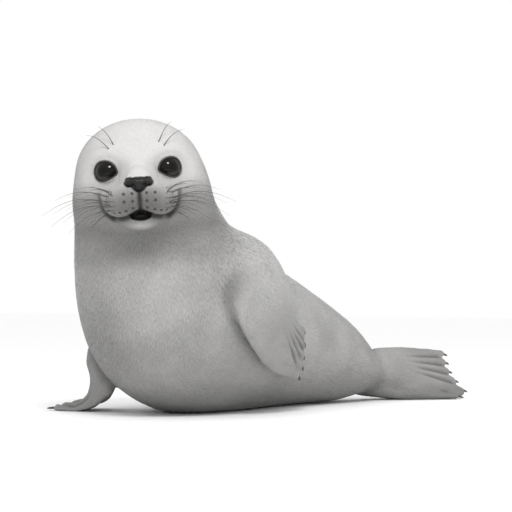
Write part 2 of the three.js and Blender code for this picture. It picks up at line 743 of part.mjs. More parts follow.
function mesh(name, made, color, roughness) {
  const { vertProperties, triVerts } = made.getMesh();
  const geometry = new THREE.BufferGeometry()
    .setAttribute("position", new THREE.BufferAttribute(new Float32Array(vertProperties), 3))
    .setIndex(new THREE.BufferAttribute(triVerts, 1));
  geometry.computeVertexNormals();
  const piece = new THREE.Mesh(geometry, new THREE.MeshStandardMaterial({ color, roughness, metalness: 0 }));
  piece.name = name;
  seal.add(piece);
}

for (const [name, frames] of Object.entries(trunkSpans)) {
  mesh(name, largest(bodyNode(frames).subtract(underFloor)), BODY, 0.7);
}
mesh("head", headWhole, FACE, 0.7);
mesh("muzzle", muzzle, FACE, 0.7);
mesh("lower_jaw", jaw, FACE, 0.7);
mesh("nose", nose, DARK, 0.35);
for (const side of SIDES) mesh(side > 0 ? "eye_left" : "eye_right", eyeball(side, EYE.radius), DARK, 0.05);

// Each flipper is cut clear of the body and of the flippers before it, and the tail of them all.
let taken = union(Object.values(trunkSpans).map(grownNode));
for (const [name, flipper] of Object.entries(flippers)) {
  const size = name.startsWith("fore") ? FORE_CLAW : HIND_CLAW;
  const digits = Array.from({ length: DIGITS }, (_, i) => i + 1);
  const sockets = union(digits.map((digit) => claw(flipper, digit, size, GAP)));
  mesh(name, largest(flipperSolid(flipper).subtract(union([taken, sockets, underFloor]))), FLIPPER, 0.7);
  for (const digit of digits) {
    mesh(name.replace("flipper", "claw") + "_" + digit, claw(flipper, digit, size, 0), HORN, 0.4);
  }
  taken = union([taken, flipperSolid(flipper, GAP)]);
}
mesh("tail", largest(tailWhole.subtract(taken)), BODY, 0.7);

// The origin is the middle of the bounding box, on the floor.
const box = new THREE.Box3().setFromObject(seal);
const middle = box.getCenter(new THREE.Vector3());
seal.position.set(-middle.x, -middle.y, -box.min.z);

export default seal;
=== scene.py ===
# %% [markdown]
# # A young harbor seal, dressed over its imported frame
# The frame holds the seal as plain solids that meet face to face. This lesson gives it one living skin,
# a short silver coat, wet black eyes, a leathery nose, whiskers and claws. Nothing is moved: every piece
# is made where the frame has it, in metres, with +Z up, the tail along +X and the left side facing -Y.

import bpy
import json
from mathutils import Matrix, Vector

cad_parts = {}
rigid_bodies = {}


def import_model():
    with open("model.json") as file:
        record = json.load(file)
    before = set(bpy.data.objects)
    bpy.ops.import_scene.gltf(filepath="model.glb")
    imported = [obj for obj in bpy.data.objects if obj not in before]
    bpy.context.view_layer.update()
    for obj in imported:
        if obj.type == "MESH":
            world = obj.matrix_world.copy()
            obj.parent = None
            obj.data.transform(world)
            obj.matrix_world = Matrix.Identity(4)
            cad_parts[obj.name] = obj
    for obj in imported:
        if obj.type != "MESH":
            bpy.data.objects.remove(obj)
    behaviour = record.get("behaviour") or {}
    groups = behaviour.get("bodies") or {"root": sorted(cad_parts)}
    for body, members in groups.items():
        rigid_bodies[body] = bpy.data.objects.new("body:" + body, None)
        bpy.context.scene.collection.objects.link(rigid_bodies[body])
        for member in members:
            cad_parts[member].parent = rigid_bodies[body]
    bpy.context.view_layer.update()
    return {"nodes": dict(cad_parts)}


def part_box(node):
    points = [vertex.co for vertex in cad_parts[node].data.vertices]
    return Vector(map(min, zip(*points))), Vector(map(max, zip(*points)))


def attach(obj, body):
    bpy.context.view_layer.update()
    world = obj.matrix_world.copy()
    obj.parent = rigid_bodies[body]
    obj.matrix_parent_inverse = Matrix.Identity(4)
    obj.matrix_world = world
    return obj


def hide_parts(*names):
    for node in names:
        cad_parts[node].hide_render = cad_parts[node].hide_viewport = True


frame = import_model()
print("nodes in the frame:", len(frame["nodes"]))

# %% Libraries and the first measures
import json
import math

import bpy
import numpy as np
from mathutils import Quaternion, Vector
from mathutils.bvhtree import BVHTree
from mathutils.kdtree import KDTree

MM = 0.001
LEFT, RIGHT = 1, -1
SIDES = {"left": LEFT, "right": RIGHT}
TRUNK = ["rump", "belly", "thorax", "chest", "neck"]
HEAD_NODES = ["head", "muzzle", "lower_jaw"]
FLIPPERS = ["fore_flipper_left", "fore_flipper_right", "hind_flipper_left", "hind_flipper_right"]
FLESH = TRUNK + HEAD_NODES + FLIPPERS + ["tail"]
DIGITS = [1, 2, 3, 4, 5]

# %% [markdown]
# ## The head's own directions
# The head is turned and tilted, so lids and lips are far easier to place forward, left and up of the head
# than along the world's axes. The two eyeballs of the frame fix where that grid lies: the head's origin is
# the middle of the braincase, a little behind and below the point between the eyes.

# %% The head's grid
FACING = math.radians(220)
PITCH = math.radians(-4)
ROLL = math.radians(4)
EYE_FORWARD, EYE_UP = 28.5 * MM, 6 * MM

forward = Vector((
    math.cos(FACING) * math.cos(PITCH),
    math.sin(FACING) * math.cos(PITCH),
    math.sin(PITCH),
))
left = Vector((-math.sin(FACING), math.cos(FACING), 0))
left.rotate(Quaternion(forward, ROLL))
up = forward.cross(left)
HEAD_AXES = np.array([forward, left, up])


def middle_of(node):
    low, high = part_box(node)
    return (low + high) / 2


eye_at = {side: middle_of(f"eye_{name}") for name, side in SIDES.items()}
head_at = (eye_at[LEFT] + eye_at[RIGHT]) / 2 - EYE_FORWARD * forward - EYE_UP * up


def on_head(ahead, sideways, above):
    """The place that lies this many millimetres forward, left and up of the braincase."""
    return head_at + MM * (float(ahead) * forward + float(sideways) * left + float(above) * up)


def in_head(points):
    """Points of the world as millimetres forward, left and up of the braincase."""
    return (np.asarray(points) - np.array(head_at)) @ HEAD_AXES.T / MM


def from_head(offsets):
    """Places this many millimetres forward, left and up of the braincase, as points of the world."""
    return np.array(head_at) + MM * offsets @ HEAD_AXES


print("eyes, mm apart:", round((eye_at[LEFT] - eye_at[RIGHT]).length / MM, 1))

# %% [markdown]
# ## Small tools
# Blender's operators act on whatever is selected, so each step first selects exactly what it means. Sculpting
# by numbers needs the vertices as one numpy array; a few functions carry them back and forth, and a few more
# give the soft falloffs and the lines that the sculpting follows.


# %% Selection and modifiers
def select_only(*objects):
    """Selects these objects and nothing else; the last one is the active one."""
    bpy.ops.object.select_all(action="DESELECT")
    for obj in objects:
        obj.select_set(True)
    bpy.context.view_layer.objects.active = objects[-1]


def just_made(name):
    """The object that an operator has just made, under a name of its own."""
    made = bpy.context.object
    made.name = made.data.name = name
    return made


def apply_modifier(obj, kind, **settings):
    """Adds one modifier and applies it at once."""
    select_only(obj)
    modifier = obj.modifiers.new(kind.title(), kind)
    for name, value in settings.items():
        setattr(modifier, name, value)
    bpy.ops.object.modifier_apply(modifier=modifier.name)


def in_edit_mode(obj, work, faces=None):
    """Runs edit-mode work on some faces, or on the whole mesh."""
    select_only(obj)
    bpy.ops.object.mode_set(mode="EDIT")
    bpy.ops.mesh.select_mode(type="FACE")
    bpy.ops.mesh.select_all(action="SELECT" if faces is None else "DESELECT")
    if faces is not None:
        bpy.ops.object.mode_set(mode="OBJECT")
        obj.data.polygons.foreach_set("select", np.asarray(faces, dtype=bool))
        bpy.ops.object.mode_set(mode="EDIT")
    work()
    bpy.ops.object.mode_set(mode="OBJECT")


def turn_out_and_smooth(obj):
    """Turns all faces outwards and shades them smoothly."""
    in_edit_mode(obj, lambda: bpy.ops.mesh.normals_make_consistent(inside=False))
    bpy.ops.object.shade_smooth()


# %% Vertices, normals and faces as arrays
def read_rows(items, field, width=3, kind=np.float32):
    """One field of all vertices, faces or corners, as an array with a row for each."""
    numbers = np.empty(len(items) * width, kind)
    items.foreach_get(field, numbers)
    return numbers.reshape(-1, width)


def vertices_of(obj):
    return read_rows(obj.data.vertices, "co").astype(float)


def normals_of(obj):
    return read_rows(obj.data.vertex_normals, "vector").astype(float)


def face_centres(obj):
    return read_rows(obj.data.polygons, "center").astype(float)


def move_vertices(obj, places):
    obj.data.vertices.foreach_set("co", np.asarray(places, np.float32).ravel())
    obj.data.update()


def add_attribute(obj, name, values, kind="FLOAT"):
    layer = obj.data.attributes.new(name, kind, "POINT")
    field = "value" if kind == "FLOAT" else "vector"
    layer.data.foreach_set(field, np.asarray(values, np.float32).ravel())


print("vertices of the nose's solid:", len(vertices_of(frame["nodes"]["nose"])))


# %% Falloffs and lines
def smoothstep(start, end, values):
    """0 before the start, 1 past the end, and an even S between them."""
    share = np.clip((np.asarray(values, float) - start) / (end - start), 0, 1)
    return share * share * (3 - 2 * share)


def bell(distance, width):
    """1 at no distance, falling to nothing beyond about twice the width."""
    return np.exp(-((np.asarray(distance) / width) ** 2))


def dense_line(points, spacing):
    """The same polyline with a point at every spacing."""
    points = np.array([list(point) for point in points])
    reach = np.concatenate([[0], np.cumsum(np.linalg.norm(np.diff(points, axis=0), axis=1))])
    steps = np.linspace(0, reach[-1], max(2, int(reach[-1] / spacing)))
    return np.stack([np.interp(steps, reach, points[:, k]) for k in range(3)], axis=1)


def from_nearest(points, centres):
    """Each point's distance to the nearest of a few centres."""
    return np.min([np.linalg.norm(points - np.array(centre), axis=1) for centre in centres], axis=0)


def point_tree(places):
    """A tree that finds the nearest of many places."""
    tree = KDTree(len(places))
    for i, place in enumerate(places):
        tree.insert(place, i)
    tree.balance()
    return tree


def near_line(line, points):
    """Distance to the nearest point of a line, and that point's share of the way along it."""
    tree = point_tree(line)
    found = [tree.find(point) for point in points]
    return np.array([hit[2] for hit in found]), np.array([hit[1] for hit in found]) / (len(line) - 1)


print("a bell at 0, 1 and 2 widths:", [round(float(bell(x, 1)), 2) for x in range(3)])

# %% [markdown]
# ## Copies of the solids
# The frame's nodes stay untouched, so the skin begins as copies of them. A copy drops its tie to the frame,
# its loose triangles are welded, and the nose and eyeballs come along to close the hollows that they sit in.


# %% Copy and weld nodes of the frame
def copy_of(nodes, name):
    select_only(*[frame["nodes"][node] for node in nodes])
    bpy.ops.object.duplicate()
    bpy.ops.object.parent_clear(type="CLEAR_KEEP_TRANSFORM")
    if len(nodes) > 1:
        bpy.ops.object.join()
    piece = bpy.context.object
    piece.name = piece.data.name = name
    piece.data.materials.clear()
    for key in list(piece.keys()):
        del piece[key]
    in_edit_mode(piece, lambda: bpy.ops.mesh.remove_doubles(threshold=0.001 * MM))
    return piece


def search_tree(*nodes):
    """One tree that finds the nearest point on any of these nodes."""
    points, faces = [], []
    for node in nodes:
        mesh = frame["nodes"][node].data
        faces += [[len(points) + i for i in polygon.vertices] for polygon in mesh.polygons]
        points += [vertex.co.copy() for vertex in mesh.vertices]
    return BVHTree.FromPolygons(points, faces)


def distances_to(tree, points, farthest):
    """How far each point lies from a tree, in metres, or the farthest that was asked for."""
    found = np.full(len(points), farthest)
    for i, point in enumerate(points):
        distance = tree.find_nearest(point, farthest)[3]
        if distance is not None:
            found[i] = distance
    return found


print("nodes that become skin:", len(FLESH))

# %% [markdown]
# ## Where the claws stand
# Each claw of the frame is a tapered rod. Its long axis, found from its own vertices, says where the claw is
# rooted and where it points. The same ends tell where each digit of a flipper runs.


# %% The line of every claw
def claw_line(node):
    """The middle of the claw's root and of its tip."""
    places = vertices_of(frame["nodes"][node])
    centred = places - places.mean(0)
    axis = np.linalg.svd(centred, full_matrices=False)[2][0]
    along = centred @ axis
    ends = [places[along < along.min() + MM], places[along > along.max() - MM]]
    ends.sort(key=lambda ring: np.linalg.norm(ring - ring.mean(0), axis=1).mean())
    return Vector(ends[1].mean(0)), Vector(ends[0].mean(0))


claws = {
    flipper: [claw_line(f"{flipper.replace('flipper', 'claw')}_{digit}") for digit in DIGITS]
    for flipper in FLIPPERS
}
print("claws found:", sum(len(lines) for lines in claws.values()))

# %% [markdown]
# ## The skin, first pass: one closed surface
# A real seal has no seams, so the copies have to become one surface. A boolean union would keep every facet
# and crease. A voxel remesh melts all of them into even quads instead, and closes the hair-thin gaps once
# the copies are fattened a little. Small balls are melted in with them: one at the end of each toe, rows of
# them for the rims of the webs, and a line of them below the edge of the left hind flipper, which rests on
# the right one. The whiskers of the solids are thinner than a voxel and fall away.

# %% Copy the muzzle and the rest
FATTEN = 1.1 * MM
FATTEN_MUZZLE = 0.3 * MM  # its whiskers have to stay thinner than a voxel

muzzle_copy = copy_of(["muzzle"], "muzzle_copy")
apply_modifier(muzzle_copy, "DISPLACE", strength=FATTEN_MUZZLE, mid_level=0)
skin = copy_of([node for node in FLESH if node != "muzzle"] + ["nose", "eye_left", "eye_right"], "skin")
print("copies:", len(skin.data.polygons), "and", len(muzzle_copy.data.polygons), "faces")

# %% Balls for the toes, the webs and the fold
TOE_RADIUS = {"fore": 6.0 * MM, "hind": 6.5 * MM}
TOE_AHEAD = {"fore": 1.5 * MM, "hind": 3.5 * MM}  # how far the toe's ball lies before the claw's root
WEB_RADIUS = 4.2 * MM
WEB_PLACES = (0.2, 0.4, 0.6, 0.8)  # shares of the way from one toe to the next
WEB_SAG = {"fore": 2.0 * MM, "hind": 3.0 * MM}  # how far the web's rim hangs back between two toes
FOLD_RADIUS, FOLD_DROP = 6.0 * MM, 6.0 * MM  # the left hind flipper's lower edge, resting on the right one
FOLD_SLICES, HALF_SLICE = 7, 13 * MM  # the flipper is cut across in slices, to find the lowest point of each
FOLD_STOPS = 25 * MM  # short of the claws
FOLD_SPACING = 3.5 * MM

toes, rim_places = [], []


def add_ball(place, radius):
    """A ball that the remesh will melt into the flipper's edge, never below the floor."""
    place = Vector((place.x, place.y, max(place.z, radius)))
    bpy.ops.mesh.primitive_ico_sphere_add(subdivisions=2, radius=radius, location=place)
    toes.append(bpy.context.object)
    rim_places.append(place)


for flipper in FLIPPERS:
    kind = flipper[:4]
    lines = claws[flipper]
    for root, tip in lines:
        add_ball(root + (tip - root).normalized() * TOE_AHEAD[kind], TOE_RADIUS[kind])
    for (root, tip), (next_root, next_tip) in zip(lines[:-1], lines[1:]):
        back = -((tip - root) + (next_tip - next_root)).normalized()
        for share in WEB_PLACES:
            hang = WEB_SAG[kind] * 4 * share * (1 - share)
            add_ball(root.lerp(next_root, share) + back * hang, WEB_RADIUS)
upper_flipper = vertices_of(frame["nodes"]["hind_flipper_left"])
lower_edge = []
for start in np.linspace(upper_flipper[:, 0].min(), upper_flipper[:, 0].max() - FOLD_STOPS, FOLD_SLICES):
    slice_here = upper_flipper[abs(upper_flipper[:, 0] - start) < HALF_SLICE]
    lower_edge.append(slice_here[slice_here[:, 2].argmin()])
for place in dense_line(lower_edge, FOLD_SPACING):
    add_ball(Vector(place) - Vector((0, 0, FOLD_DROP)), FOLD_RADIUS)
print("balls:", len(toes))

# %% Join, fatten and remesh
VOXEL = 2 * MM

select_only(*toes, skin)
bpy.ops.object.join()
apply_modifier(skin, "DISPLACE", strength=FATTEN, mid_level=0)
select_only(muzzle_copy, skin)
bpy.ops.object.join()
apply_modifier(skin, "REMESH", mode="VOXEL", voxel_size=VOXEL)
print("remeshed skin:", len(skin.data.polygons), "faces")

# %% Keep the body, drop the crumbs of whisker
select_only(skin)
bpy.ops.object.mode_set(mode="EDIT")
bpy.ops.mesh.select_all(action="SELECT")
bpy.ops.mesh.separate(type="LOOSE")
bpy.ops.object.mode_set(mode="OBJECT")
parts = sorted(bpy.context.selected_objects, key=lambda obj: len(obj.data.vertices))
skin = parts.pop()
for crumb in parts:
    bpy.data.objects.remove(crumb)
skin.name = skin.data.name = "skin"
print("crumbs dropped:", len(parts), "- faces:", len(skin.data.polygons))

# %% [markdown]
# ## Smooth the flanks, spare the face
# The remesh still shows the flat facets of the solids. Smoothing takes them away, but it also eats thin edges
# and small forms. So the Smooth modifier gets a vertex group: full strength on the trunk, half on the crown,
# and only a touch on the muzzle and the flippers. A Decimate with a group of its own then thins the faces of
# the trunk, where one quad is as good as nine.

# %% What a point belongs to
NEAR = 14 * MM  # a flipper this far off the trunk counts as a flipper in full

trunk_tree = search_tree(*TRUNK)
flipper_trees = {flipper: search_tree(flipper) for flipper in FLIPPERS}


def on_flippers(points):
    """0 on the trunk, 1 on the free part of a flipper."""
    off_trunk = smoothstep(0.15 * NEAR, NEAR, distances_to(trunk_tree, points, NEAR))
    nearest = np.min([distances_to(tree, points, 4 * MM) for tree in flipper_trees.values()], axis=0)
    return off_trunk * (nearest < 3 * MM)


def down_flipper(points):
    """0 at the flippers' roots, 1 from halfway to the claws, for the coat and its colour."""
    far = np.zeros(len(points))
    for flipper, (start, end) in flipper_flow.items():
        near = distances_to(flipper_trees[flipper], points, 6 * MM) < 5 * MM
        share = (points - start) @ (end - start) / ((end - start) @ (end - start))
        far = np.maximum(far, near * smoothstep(0.0, 0.6, share))
    return far * on_flippers(points)


def on_head_share(points):
    """0 on the neck, 1 on the head."""
    ahead, _, above = in_head(points).T
    share = smoothstep(-75, -45, ahead) * smoothstep(-85, -60, above)
    return share * smoothstep(-150, -105, -above + 0.9 * ahead)


def on_face_share(points):
    """1 on the muzzle, the jaw and round the eyes."""
    ahead, _, above = in_head(points).T
    near_eye = from_nearest(points, eye_at.values())
    muzzle = smoothstep(46, 58, ahead) * smoothstep(-80, -66, above)
    return np.maximum(muzzle, 1 - smoothstep(24 * MM, 32 * MM, near_eye))


def by_region(table, head_share, face_share, flipper_share):
    """Blends a value of the trunk, head, face and flippers by how much a point belongs to each."""
    value = table["trunk"] + head_share * (np.array(table["head"]) - table["trunk"])
    value = value + face_share * (np.array(table["face"]) - value)
    return value + flipper_share * (np.array(table["flipper"]) - value)


def regions_of(points):
    """How much each point belongs to the head, the face and the flippers."""
    return on_head_share(points), on_face_share(points), on_flippers(points)


def set_weights(obj, name, weights):
    """A vertex group with these weights, in steps of a hundredth."""
    group = obj.vertex_groups.get(name) or obj.vertex_groups.new(name=name)
    for level in np.unique(np.round(weights, 2)):
        group.add(np.flatnonzero(np.round(weights, 2) == level).tolist(), float(level), "REPLACE")


print("near a flipper:", int((on_flippers(vertices_of(skin)) > 0.5).sum()), "of", len(skin.data.vertices))

# %% Smooth by weights, then thin the trunk
SMOOTHING = {"trunk": 1.0, "head": 0.5, "face": 0.1, "flipper": 0.16}
SMOOTHING_STEPS = 80
SHOULDER = 0.55  # more smoothing of a flipper up by the shoulder
KEPT = 0.36  # of the trunk's faces

places = vertices_of(skin)
regions = regions_of(places)
by_height = SMOOTHING["flipper"] + SHOULDER * smoothstep(100, 150, places[:, 2] / MM)
set_weights(skin, "smooth", by_region({**SMOOTHING, "flipper": by_height}, *regions))
apply_modifier(skin, "SMOOTH", factor=0.5, iterations=SMOOTHING_STEPS, vertex_group="smooth")
set_weights(skin, "thin", np.maximum.reduce(regions))
apply_modifier(skin, "DECIMATE", ratio=KEPT, vertex_group="thin", invert_vertex_group=True)
print("thinned to", len(skin.data.polygons), "faces")

# %% [markdown]
# ## Finer faces where the seal is looked at
# Lids, lips and the muzzle's pads have forms of a millimetre. The faces there are split once, and then a
# second Smooth with its own group takes the whisker stumps off the pads and the brow. It hardly touches the
# mouth, the edge of the nose and the eyes, because the creases there are real ones.

# %% Split the face and find the mouth
MOUTH_SEAM = [  # forward, sideways, up of the braincase, along the edge of the upper lip
    (92.0, 0, -42.3), (92.0, 6, -43.8), (90.4, 12, -47.0), (87.6, 15.6, -48.8),
    (81.0, 21.2, -50.0), (73.0, 24.7, -50.5), (65.0, 28.0, -50.3),
]
MOUTH_CHEEK = [(34, -49.5), (41, -45.5), (46, -38), (48.5, -29.5), (49.5, -21)]  # sideways, up, to its corner
PHILTRUM = [(99.6, 0, -19), (99.3, 0, -29), (92.5, 0, -42)]
LINE_STEP = 0.8 * MM
BEFORE_FACE = 160  # mm, from where rays are sent at the face


def surface_ahead(tree, sideways, above):
    """The skin's place that is met when the face is looked at from the front."""
    return tree.ray_cast(on_head(BEFORE_FACE, sideways, above), -forward)[0]


def tree_of(obj):
    mesh = obj.data
    return BVHTree.FromPolygons([v.co for v in mesh.vertices], [list(p.vertices) for p in mesh.polygons])


finer = on_face_share(face_centres(skin)) > 0.05
in_edit_mode(skin, lambda: bpy.ops.mesh.subdivide(number_cuts=1, smoothness=0), finer)
skin_tree = tree_of(skin)
mouth = {}
for side in (LEFT, RIGHT):
    lip = [on_head(a, side * b, c) for a, b, c in MOUTH_SEAM]
    lip += [surface_ahead(skin_tree, side * b, c) for b, c in MOUTH_CHEEK]
    mouth[side] = dense_line(lip, LINE_STEP)
mouth_line = np.concatenate([mouth[LEFT][::-1], mouth[RIGHT]])
print("face split:", len(skin.data.polygons), "faces, mouth of", len(mouth_line), "points")

# %% Polish the pads
POLISH, POLISH_LEAST, POLISH_STEPS = 0.6, 0.1, 40

places = vertices_of(skin)
face = np.flatnonzero(on_face_share(places) > 0.02)
from_mouth = near_line(mouth_line, places[face])[0]
ahead, sideways, above = in_head(places[face]).T
from_nose = distances_to(search_tree("nose"), places[face], 9 * MM)
from_eye = from_nearest(places[face], eye_at.values())
weights = np.zeros(len(places))
weights[face] = POLISH * smoothstep(3 * MM, 7 * MM, from_mouth) * smoothstep(2 * MM, 7 * MM, from_nose)
weights[face] *= smoothstep(19 * MM, 23 * MM, from_eye)
weights[face] = np.maximum(weights[face], POLISH_LEAST)
set_weights(skin, "polish", weights)
apply_modifier(skin, "SMOOTH", factor=0.5, iterations=POLISH_STEPS, vertex_group="polish")
smooth_face = vertices_of(skin)  # the mouth is measured here, before it is carved
off_mouth, along_mouth = near_line(mouth_line, smooth_face)
off_philtrum = near_line(dense_line([on_head(*spot) for spot in PHILTRUM], LINE_STEP), smooth_face)[0]
print("polished:", len(face), "points of the face")

# %% [markdown]
# ## Eyelids
# First the whole skin is drawn in, by as much as it was fattened and by the depth of the coat that will
# stand on it. A seal's lids are a soft ring that hugs the ball. The ball is a true sphere, so the lid is
# sculpted in the ball's own angles: how far a point lies from the direction of gaze, and which way round.
# Inside the opening the skin is sunk well into the ball, where the separate eye hides it.

# %% The eye's own angles
EYE_RADIUS = 17.4  # mm
GAZE_YAW, GAZE_PITCH = math.radians(29), math.radians(5)
OPENING = math.radians(49.5)
# Angles round the eye: 0 is outwards, 90 degrees is up.
OUTER, CANTHUS, LOWER_INNER = 0, math.radians(190), math.radians(232)


def gaze_axes(side):
    """The directions of gaze, outwards and up of one eye, along the head's grid."""
    cy, sy = math.cos(GAZE_YAW), math.sin(GAZE_YAW)
    cp, sp = math.cos(GAZE_PITCH), math.sin(GAZE_PITCH)
    return np.array([[cp * cy, side * cp * sy, sp], [-sy, side * cy, 0], [-sp * cy, -side * sp * sy, cp]])


def opening_at(round_angle):
    """How far off the gaze the lid's rim is: an oval, drawn out to the inner corner and flatter below."""

    def swell(middle, width):
        off = np.angle(np.exp(1j * (round_angle - middle)))
        return np.exp(-((off / width) ** 2))

    change = 0.14 * np.cos(2 * round_angle) + 0.12 * swell(CANTHUS, 0.3)
    change -= 0.10 * swell(LOWER_INNER, 0.5) + 0.07 * swell(OUTER, 0.6)
    return OPENING * (1 + change)


def from_gaze(offsets, side):
    """Places in millimetres along gaze, outwards and up of an eye, as places in the world."""
    return from_head(in_head([eye_at[side]]) + offsets @ gaze_axes(side))


def on_ball(off_gaze, round_eye):
    """Directions with these angles, along gaze, outwards and up."""
    sine = np.sin(off_gaze)
    return np.stack([np.cos(off_gaze), sine * np.cos(round_eye), sine * np.sin(round_eye)], 1)


def lid_line(side):
    """The ring on which the lid meets the ball."""
    turn = np.linspace(-math.pi, math.pi, 90)
    return from_gaze(on_ball(opening_at(turn), turn) * (EYE_RADIUS + 1), side)


def eye_angles(points, side):
    """Millimetres from the ball's middle, angle off the gaze, angle round the eye, and the offset itself."""
    offset = (in_head(points) - in_head([eye_at[side]])) @ gaze_axes(side).T
    reach = np.linalg.norm(offset, axis=1)
    return reach, np.arccos(offset[:, 0] / reach), np.arctan2(offset[:, 2], offset[:, 1]), offset


widest = opening_at(np.linspace(-math.pi, math.pi, 90)).max()
print("widest opening, degrees:", round(math.degrees(widest), 1))

# %% Draw the skin in by the depth of the coat
COAT_DEPTH = {"trunk": 1.4, "head": 1.0, "face": 0.5, "flipper": 0.2}  # mm

places, normals = vertices_of(skin), normals_of(skin)
depth = by_region(COAT_DEPTH, *regions_of(places))
off_muzzle = distances_to(search_tree("muzzle"), places, 8 * MM)
fatness = FATTEN_MUZZLE + (FATTEN - FATTEN_MUZZLE) * smoothstep(1 * MM, 8 * MM, off_muzzle)
places -= normals * (fatness + depth * MM)[:, None]
print("drawn in by at most, mm:", round(float((fatness / MM + depth).max()), 1))

# %% Sculpt the lids
LID_OFF, LID_THICK = 0.5, 2.2  # mm clear of the ball at the rim, and thicker than that behind it
LID_ROUND = 1.4  # mm over which the rim is rounded
LID_MEETS_FACE = (1.5, 6)  # mm past the rim
LID_DIVES, SUNK = -0.4, 3  # mm before the rim, and how deep inside the ball
FAR_OFF = (10, 18)  # mm off the ball, where the skin no longer belongs to the lid

for side in (LEFT, RIGHT):
    reach, off_gaze, round_eye, offset = eye_angles(places, side)
    past_rim = (off_gaze - opening_at(round_eye)) * EYE_RADIUS
    lid = EYE_RADIUS + LID_OFF + LID_THICK * (1 - np.exp(-np.maximum(past_rim, 0) / LID_ROUND))
    lid = lid + (reach - lid) * smoothstep(*LID_MEETS_FACE, past_rim)
    wanted = np.where(past_rim < LID_DIVES, EYE_RADIUS - SUNK, lid)
    wanted += (reach - wanted) * smoothstep(EYE_RADIUS + FAR_OFF[0], EYE_RADIUS + FAR_OFF[1], reach)
    close = (reach < EYE_RADIUS + FAR_OFF[1]) & (past_rim < LID_MEETS_FACE[1])
    move = np.where(close, wanted / reach, 1)
    offset *= move[:, None]
    places[close] = from_gaze(offset, side)[close]
    print("lid", side, "moved", int(close.sum()), "points")
move_vertices(skin, places)

# %% [markdown]
# ## The nose
# The bare nose is leather: two wings over a wedge, with a slanting nostril on each side. Its solid is
# nearly the right form, so a copy is narrowed a little, remeshed finely and smoothed, and the nostrils are
# carved as curved slits.

# %% Narrow the copy
NOSE_WIDTH, NOSE_HEIGHT = 0.93, 0.80  # of the solid's, because its rim is covered by fur
NOSE_VOXEL = 0.55 * MM

nose = copy_of(["nose"], "nose_leather")
NOSE_FOOT = in_head(vertices_of(nose))[:, 2].min()


def narrowed(points):
    """Places of the solid nose, drawn in to the bare leather that shows."""
    ahead, sideways, above = in_head(points).T
    width = NOSE_WIDTH * (0.62 + 0.38 * smoothstep(NOSE_FOOT, NOSE_FOOT + 11, above))
    ahead = ahead - 2.0 * smoothstep(NOSE_FOOT + 9, NOSE_FOOT, above)
    above = NOSE_FOOT + NOSE_HEIGHT * (above - NOSE_FOOT)
    return from_head(np.stack([ahead, width * sideways, above], 1))


move_vertices(nose, narrowed(vertices_of(nose)))
apply_modifier(nose, "DISPLACE", strength=0.5 * MM, mid_level=0)
apply_modifier(nose, "REMESH", mode="VOXEL", voxel_size=NOSE_VOXEL)
apply_modifier(nose, "SMOOTH", factor=0.5, iterations=14)
print("nose:", len(nose.data.polygons), "faces")

# %% Carve the nostrils
NOSTRIL = [(102.5, 10.8, -4.2), (102.0, 8.4, -7.2), (101.0, 6.2, -10.4), (100.0, 5.6, -12.6)]
SLIT_DEPTH, SLIT_WIDTH = 2.6, 1.3  # mm
SLIT_RIM = (0.35, 2.4, 1.0)  # how high, how far from the slit's middle, how wide, in mm
NOSE_SPLIT_DEPTH, NOSE_SPLIT_WIDTH = 0.7, 0.9  # the shallow furrow between the nostrils

places, normals = vertices_of(nose), normals_of(nose)
push = np.full(len(places), 0.35)
for side in (LEFT, RIGHT):
    slit = narrowed(dense_line([on_head(a, side * b, c) for a, b, c in NOSTRIL], 0.4 * MM))
    from_slit = near_line(slit, places)[0] / MM
    push += SLIT_RIM[0] * bell(from_slit - SLIT_RIM[1], SLIT_RIM[2])
    push -= SLIT_DEPTH * bell(from_slit, SLIT_WIDTH)
ahead, sideways, above = in_head(places).T
furrow = NOSE_SPLIT_DEPTH * bell(sideways, NOSE_SPLIT_WIDTH)
push -= furrow * smoothstep(92, 98, ahead) * smoothstep(-1, -6, above)
move_vertices(nose, places + normals * (push * MM)[:, None])
apply_modifier(nose, "SMOOTH", factor=0.4, iterations=3)
slits = narrowed([on_head(a, s * b, c) for s in (LEFT, RIGHT) for a, b, c in dense_line(NOSTRIL, 0.4)])
# painted shade: the leather darkened in and round the nostril slits
add_attribute(nose, "painted_nostril_shade", bell(near_line(slits, vertices_of(nose))[0] / MM, 2.2))
bpy.ops.object.shade_smooth()
print("nostrils, deepest push, mm:", round(float(-push.min()), 1))

# %% [markdown]
# ## Mouth, the bed of the nose, and ears
# Each of these is a small push along the skin's own normals, with a bell of the distance for its profile.
# The mouth is a groove between two full lips, and below the nose it is pushed straight back into a small
# opening. The skin sinks under the leather of the nose, which is a piece of its own, and each ear is only a
# pin-hole with a soft rim. A light Smooth settles all of it.

# %% The mouth's opening
MOUTH_HALF_WIDTH, MOUTH_GAPE, GAPE_DEPTH = 15.5, 12.5, 12  # mm
LIP_MIDDLE = -42.3  # mm up of the head's middle, where the upper lip is in the middle
LIP_FALL, LIP_CURVE = 6.2, 1.6  # how far it falls to its sides, and how late


def mouth_opening(points, edge):
    """1 between the upper lip and the rounded lower one, 0 outside, with an edge this many mm wide."""
    ahead, sideways, above = in_head(points).T
    across = np.minimum(abs(sideways) / MOUTH_HALF_WIDTH, 1)
    upper_lip = LIP_MIDDLE - LIP_FALL * across ** LIP_CURVE
    lower_lip = LIP_MIDDLE - MOUTH_GAPE * np.sqrt(1 - across ** 2)
    inside = smoothstep(-edge, edge, upper_lip - above) * smoothstep(-edge, edge, above - lower_lip)
    return inside * (across < 1) * (ahead > 74)


print("points in the mouth's opening:", int((mouth_opening(smooth_face, 1.0) > 0.5).sum()))

